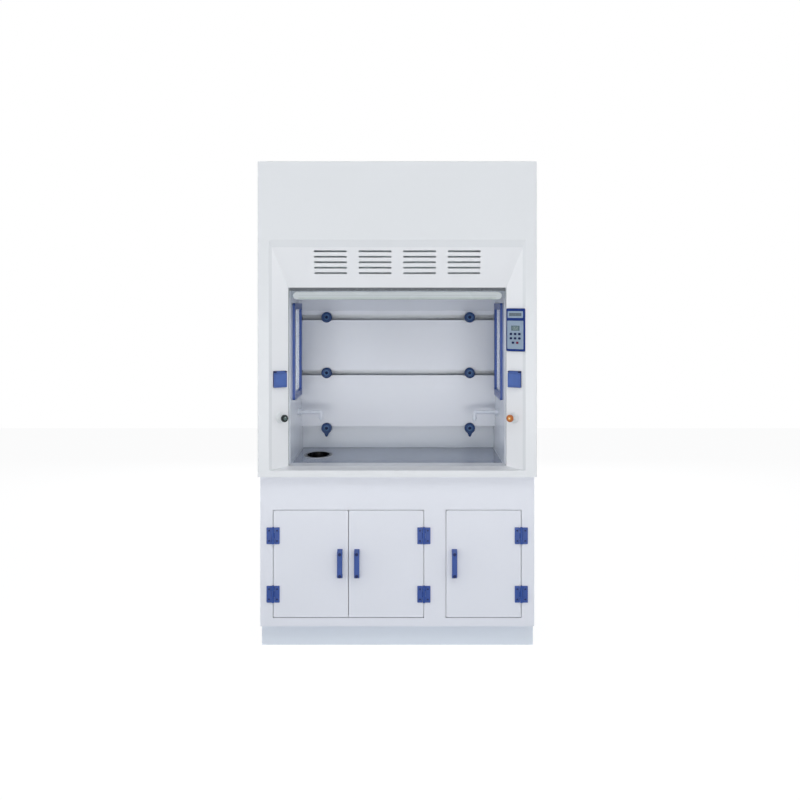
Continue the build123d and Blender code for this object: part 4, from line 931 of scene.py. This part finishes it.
# Sash drive.
# Zinc-plated carriers, cross shaft, brackets and counterweights, with black moulded lower pulleys
# and black toothed belts.
dress(zinc_steel, "lower_sash_carriers", "upper_sash_carriers", "drive_shaft", "pulley_brackets",
      "counterweight_left", "counterweight_right")
dress(moulded_material("pulley_acetal", (24, 25, 28)), "idler_left", "idler_right")
dress(moulded_material("belt_rubber", (20, 20, 21), 0.6, 0.72), "belts")

# Valves and outlets.
# White moulded bodies and outlets. The water knob is dark green with a grey index disc and a white line,
# and the gas knob is orange, with a yellow disc and a cream centre in its dished end that are a painted
# highlight.
DISC_RADIUS = 0.0088
DISC_RISE = 0.0005
DISH_DEPTH = 0.0025
GAS_DISC_THICKNESS = 0.0014
CENTRE_RADIUS = 0.0034

white_moulding = moulded_material("white_moulding", (226, 230, 232))
dress(white_moulding, "valve_bodies")
dress(moulded_material("outlet_moulding", (226, 231, 240)), "service_outlets")
dress(moulded_material("dark_green_knob", (8, 22, 24), Specular_IOR_Level=0.3), "water_knob")
dress(moulded_material("orange_knob", (184, 100, 34), Specular_IOR_Level=0.35), "gas_knob")
water_seat = seat_on("water_knob", joint_named("water_valve_turn")["axis"])
gas_seat = seat_on("gas_knob", joint_named("gas_valve_turn")["axis"])
pad("water_index_disc", water_seat, 2 * DISC_RADIUS, 2 * DISC_RADIUS, DISC_RADIUS, -0.0005, DISC_RISE, 0.0003,
    "water_valve_knob", "dark_green_plastic", moulded_material("index_grey", (74, 96, 94)))
pad("water_index_line", water_seat, 0.0016, 0.007, 0.0008, 0, DISC_RISE * 1.5, 0.0001, "water_valve_knob",
    "valve_polypropylene", white_moulding, (0, 0.0045))
# The yellow disc and its cream centre are a painted highlight in the gas knob's dished end.
pad("gas_index_disc", gas_seat, 2 * DISC_RADIUS, 2 * DISC_RADIUS, DISC_RADIUS, -DISH_DEPTH,
    GAS_DISC_THICKNESS - DISH_DEPTH, 0.0004, "gas_valve_knob", "orange_plastic",
    moulded_material("amber_painted_highlight", (232, 158, 62)))
pad("gas_index_centre", gas_seat, 2 * CENTRE_RADIUS, 2 * CENTRE_RADIUS, CENTRE_RADIUS,
    GAS_DISC_THICKNESS - DISH_DEPTH - 0.0002, 0, 0.0006, "gas_valve_knob", "orange_plastic",
    moulded_material("cream_painted_highlight", (255, 246, 214)))

# Sockets.
# Dark blue bases with hinged lids of a lighter blue; the bases' darker blue is partly painted shade round the
# lids' edges.
# Each lid has a low raised panel.
LID_PANEL_WIDTH = 0.055
LID_PANEL_HEIGHT = 0.05
LID_BELOW_TAB = 0.002
LID_PANEL_DROP = 0.0025
LID_PANEL_CORNER = 0.003
LID_PANEL_EDGE = 0.0004
LID_PANEL_RISE = 0.0005

lid_moulding = moulded_material("lid_moulding", (46, 84, 160), 0.28, 0.38)
lid_panel = moulded_material("lid_panel", (56, 95, 172), 0.3, 0.4)
# The bases' dark navy is partly their own colour and partly painted shade round the lids' edges.
dress(navy_moulding, "socket_bases")
dress(lid_moulding, "socket_cover_left", "socket_cover_right")
for side, valve in (("left", "water_valve_turn"), ("right", "gas_valve_turn")):
    lid_seat = seat_on("socket_cover_" + side, joint_named(valve)["axis"])
    pad("socket_lid_panel_" + side, lid_seat, LID_PANEL_WIDTH, LID_PANEL_HEIGHT, LID_PANEL_CORNER,
        -LID_BELOW_TAB - LID_PANEL_EDGE, LID_PANEL_RISE - LID_BELOW_TAB, LID_PANEL_EDGE,
        side + "_socket_flap", "blue_polypropylene", lid_panel, (0, -LID_PANEL_DROP))

# Control panel.
# Blue bezel, a film keypad with domed dark keys and one red key, a small liquid crystal display,
# and a bare header plate with a plain grey band.
HEADER_RISE = 0.06925
HEADER_BELOW_BEZEL = 0.0004
BAND_SIZE = (0.066, 0.015)
BAND_CORNER = 0.002
BAND_HALF = 0.0002
KEY_COUNT = 8
KEY_CAP_SIZE = (0.0136, 0.0104)
KEY_CAP_CORNER = 0.0042
KEY_CAP_EDGE = 0.0007
KEY_CAP_UNDER = 0.0005
KEY_CAP_RISE = 0.0005
DIGIT_HEIGHT = 0.0115
DIGIT_WIDTH = 0.0062
DIGIT_STROKE = 0.0013
DIGIT_PITCH = 0.0092
DIGIT_LEAN = 0.1
DIGIT_THICKNESS = 0.0002
BAR_INSET = 0.3
DISPLAY_TEXT = "0.50"
SEGMENTS = {"0": "abcdef", "5": "acdfg"}

dress(moulded_material("bezel_moulding", (4, 46, 122), 0.3, 0.4, Specular_IOR_Level=0.15), "control_bezel")
dress(moulded_material("keypad_film", (140, 160, 182), 0.34, 0.44, 0.97), "control_faceplate")
dress(moulded_material("display_window", (54, 86, 94), 0.2, 0.26, 0.97), "control_display")
key_navy = moulded_material("key_navy", (8, 26, 74), 0.4, 0.5, Specular_IOR_Level=0.15)
key_red = moulded_material("key_red", (112, 28, 58), 0.4, 0.5, Specular_IOR_Level=0.15)
panel_out = joint_named("gas_valve_turn")["axis"]
for number in range(1, KEY_COUNT + 1):
    key_material, key_slot = (key_red, "key_red") if number == KEY_COUNT else (key_navy, "key_grey")
    dress(key_material, "key_%d" % number)
    pad("key_cap_%d" % number, seat_on("key_%d" % number, panel_out), *KEY_CAP_SIZE, KEY_CAP_CORNER,
        -KEY_CAP_UNDER, KEY_CAP_RISE, KEY_CAP_EDGE, "button_%d" % number, key_slot, key_material)
pad("header_band", seat_on("control_bezel", panel_out), *BAND_SIZE, BAND_CORNER,
    -HEADER_BELOW_BEZEL - BAND_HALF, -HEADER_BELOW_BEZEL + BAND_HALF, BAND_HALF / 2, "cabinet",
    "display_plastic", moulded_material("header_grey", (88, 104, 116), 0.2, 0.3, Specular_IOR_Level=0.3),
    (0, HEADER_RISE))


def digit_bars(symbol):
    """Bars of a seven-segment digit, as ends of their middle lines about the digit's middle."""
    x, y = DIGIT_WIDTH / 2, DIGIT_HEIGHT / 2
    bars = {"a": ((-x, y), (x, y)), "b": ((x, y), (x, 0)), "c": ((x, 0), (x, -y)), "d": ((-x, -y), (x, -y)),
            "e": ((-x, -y), (-x, 0)), "f": ((-x, 0), (-x, y)), "g": ((-x, 0), (x, 0))}
    return [bars[segment] for segment in SEGMENTS[symbol]]


def display_digits(name, seat, material):
    """Leaning seven-segment digits, each bar a flat hexagon, and a square point."""
    middle, level, rising, outward = seat
    half = DIGIT_STROKE / 2
    bm = bmesh.new()

    def plate(points):
        """Thin plate on the display with this outline."""
        rings = [[bm.verts.new(middle + level * (x + y * DIGIT_LEAN) + rising * y + outward * rise)
                  for x, y in points] for rise in (0, DIGIT_THICKNESS)]
        ring_faces(bm, rings)
        bm.faces.new(reversed(rings[0]))
        bm.faces.new(rings[1])

    start = -DIGIT_PITCH
    for symbol in DISPLAY_TEXT:
        if symbol == ".":
            x, y = start - DIGIT_PITCH / 2, -DIGIT_HEIGHT / 2
            plate([(x - half, y - half), (x + half, y - half), (x + half, y + half), (x - half, y + half)])
            continue
        for (x0, y0), (x1, y1) in digit_bars(symbol):
            along = Vector((x1 - x0, y1 - y0)).normalized()
            side = Vector((-along.y, along.x)) * half
            inset = along * half * BAR_INSET
            first, last = Vector((start + x0, y0)) + inset, Vector((start + x1, y1)) - inset
            plate([first, first + along * half - side, last - along * half - side, last,
                   last - along * half + side, first + along * half + side])
        start += DIGIT_PITCH
    place_piece(name, mesh_of(bm, name, material), "cabinet")


display_digits("display_digits", seat_on("control_display", panel_out),
               moulded_material("display_ink", (140, 162, 160), 0.3, 0.4))

for head in (cross_head, cap_head, hub_ring):
    bpy.data.objects.remove(head)
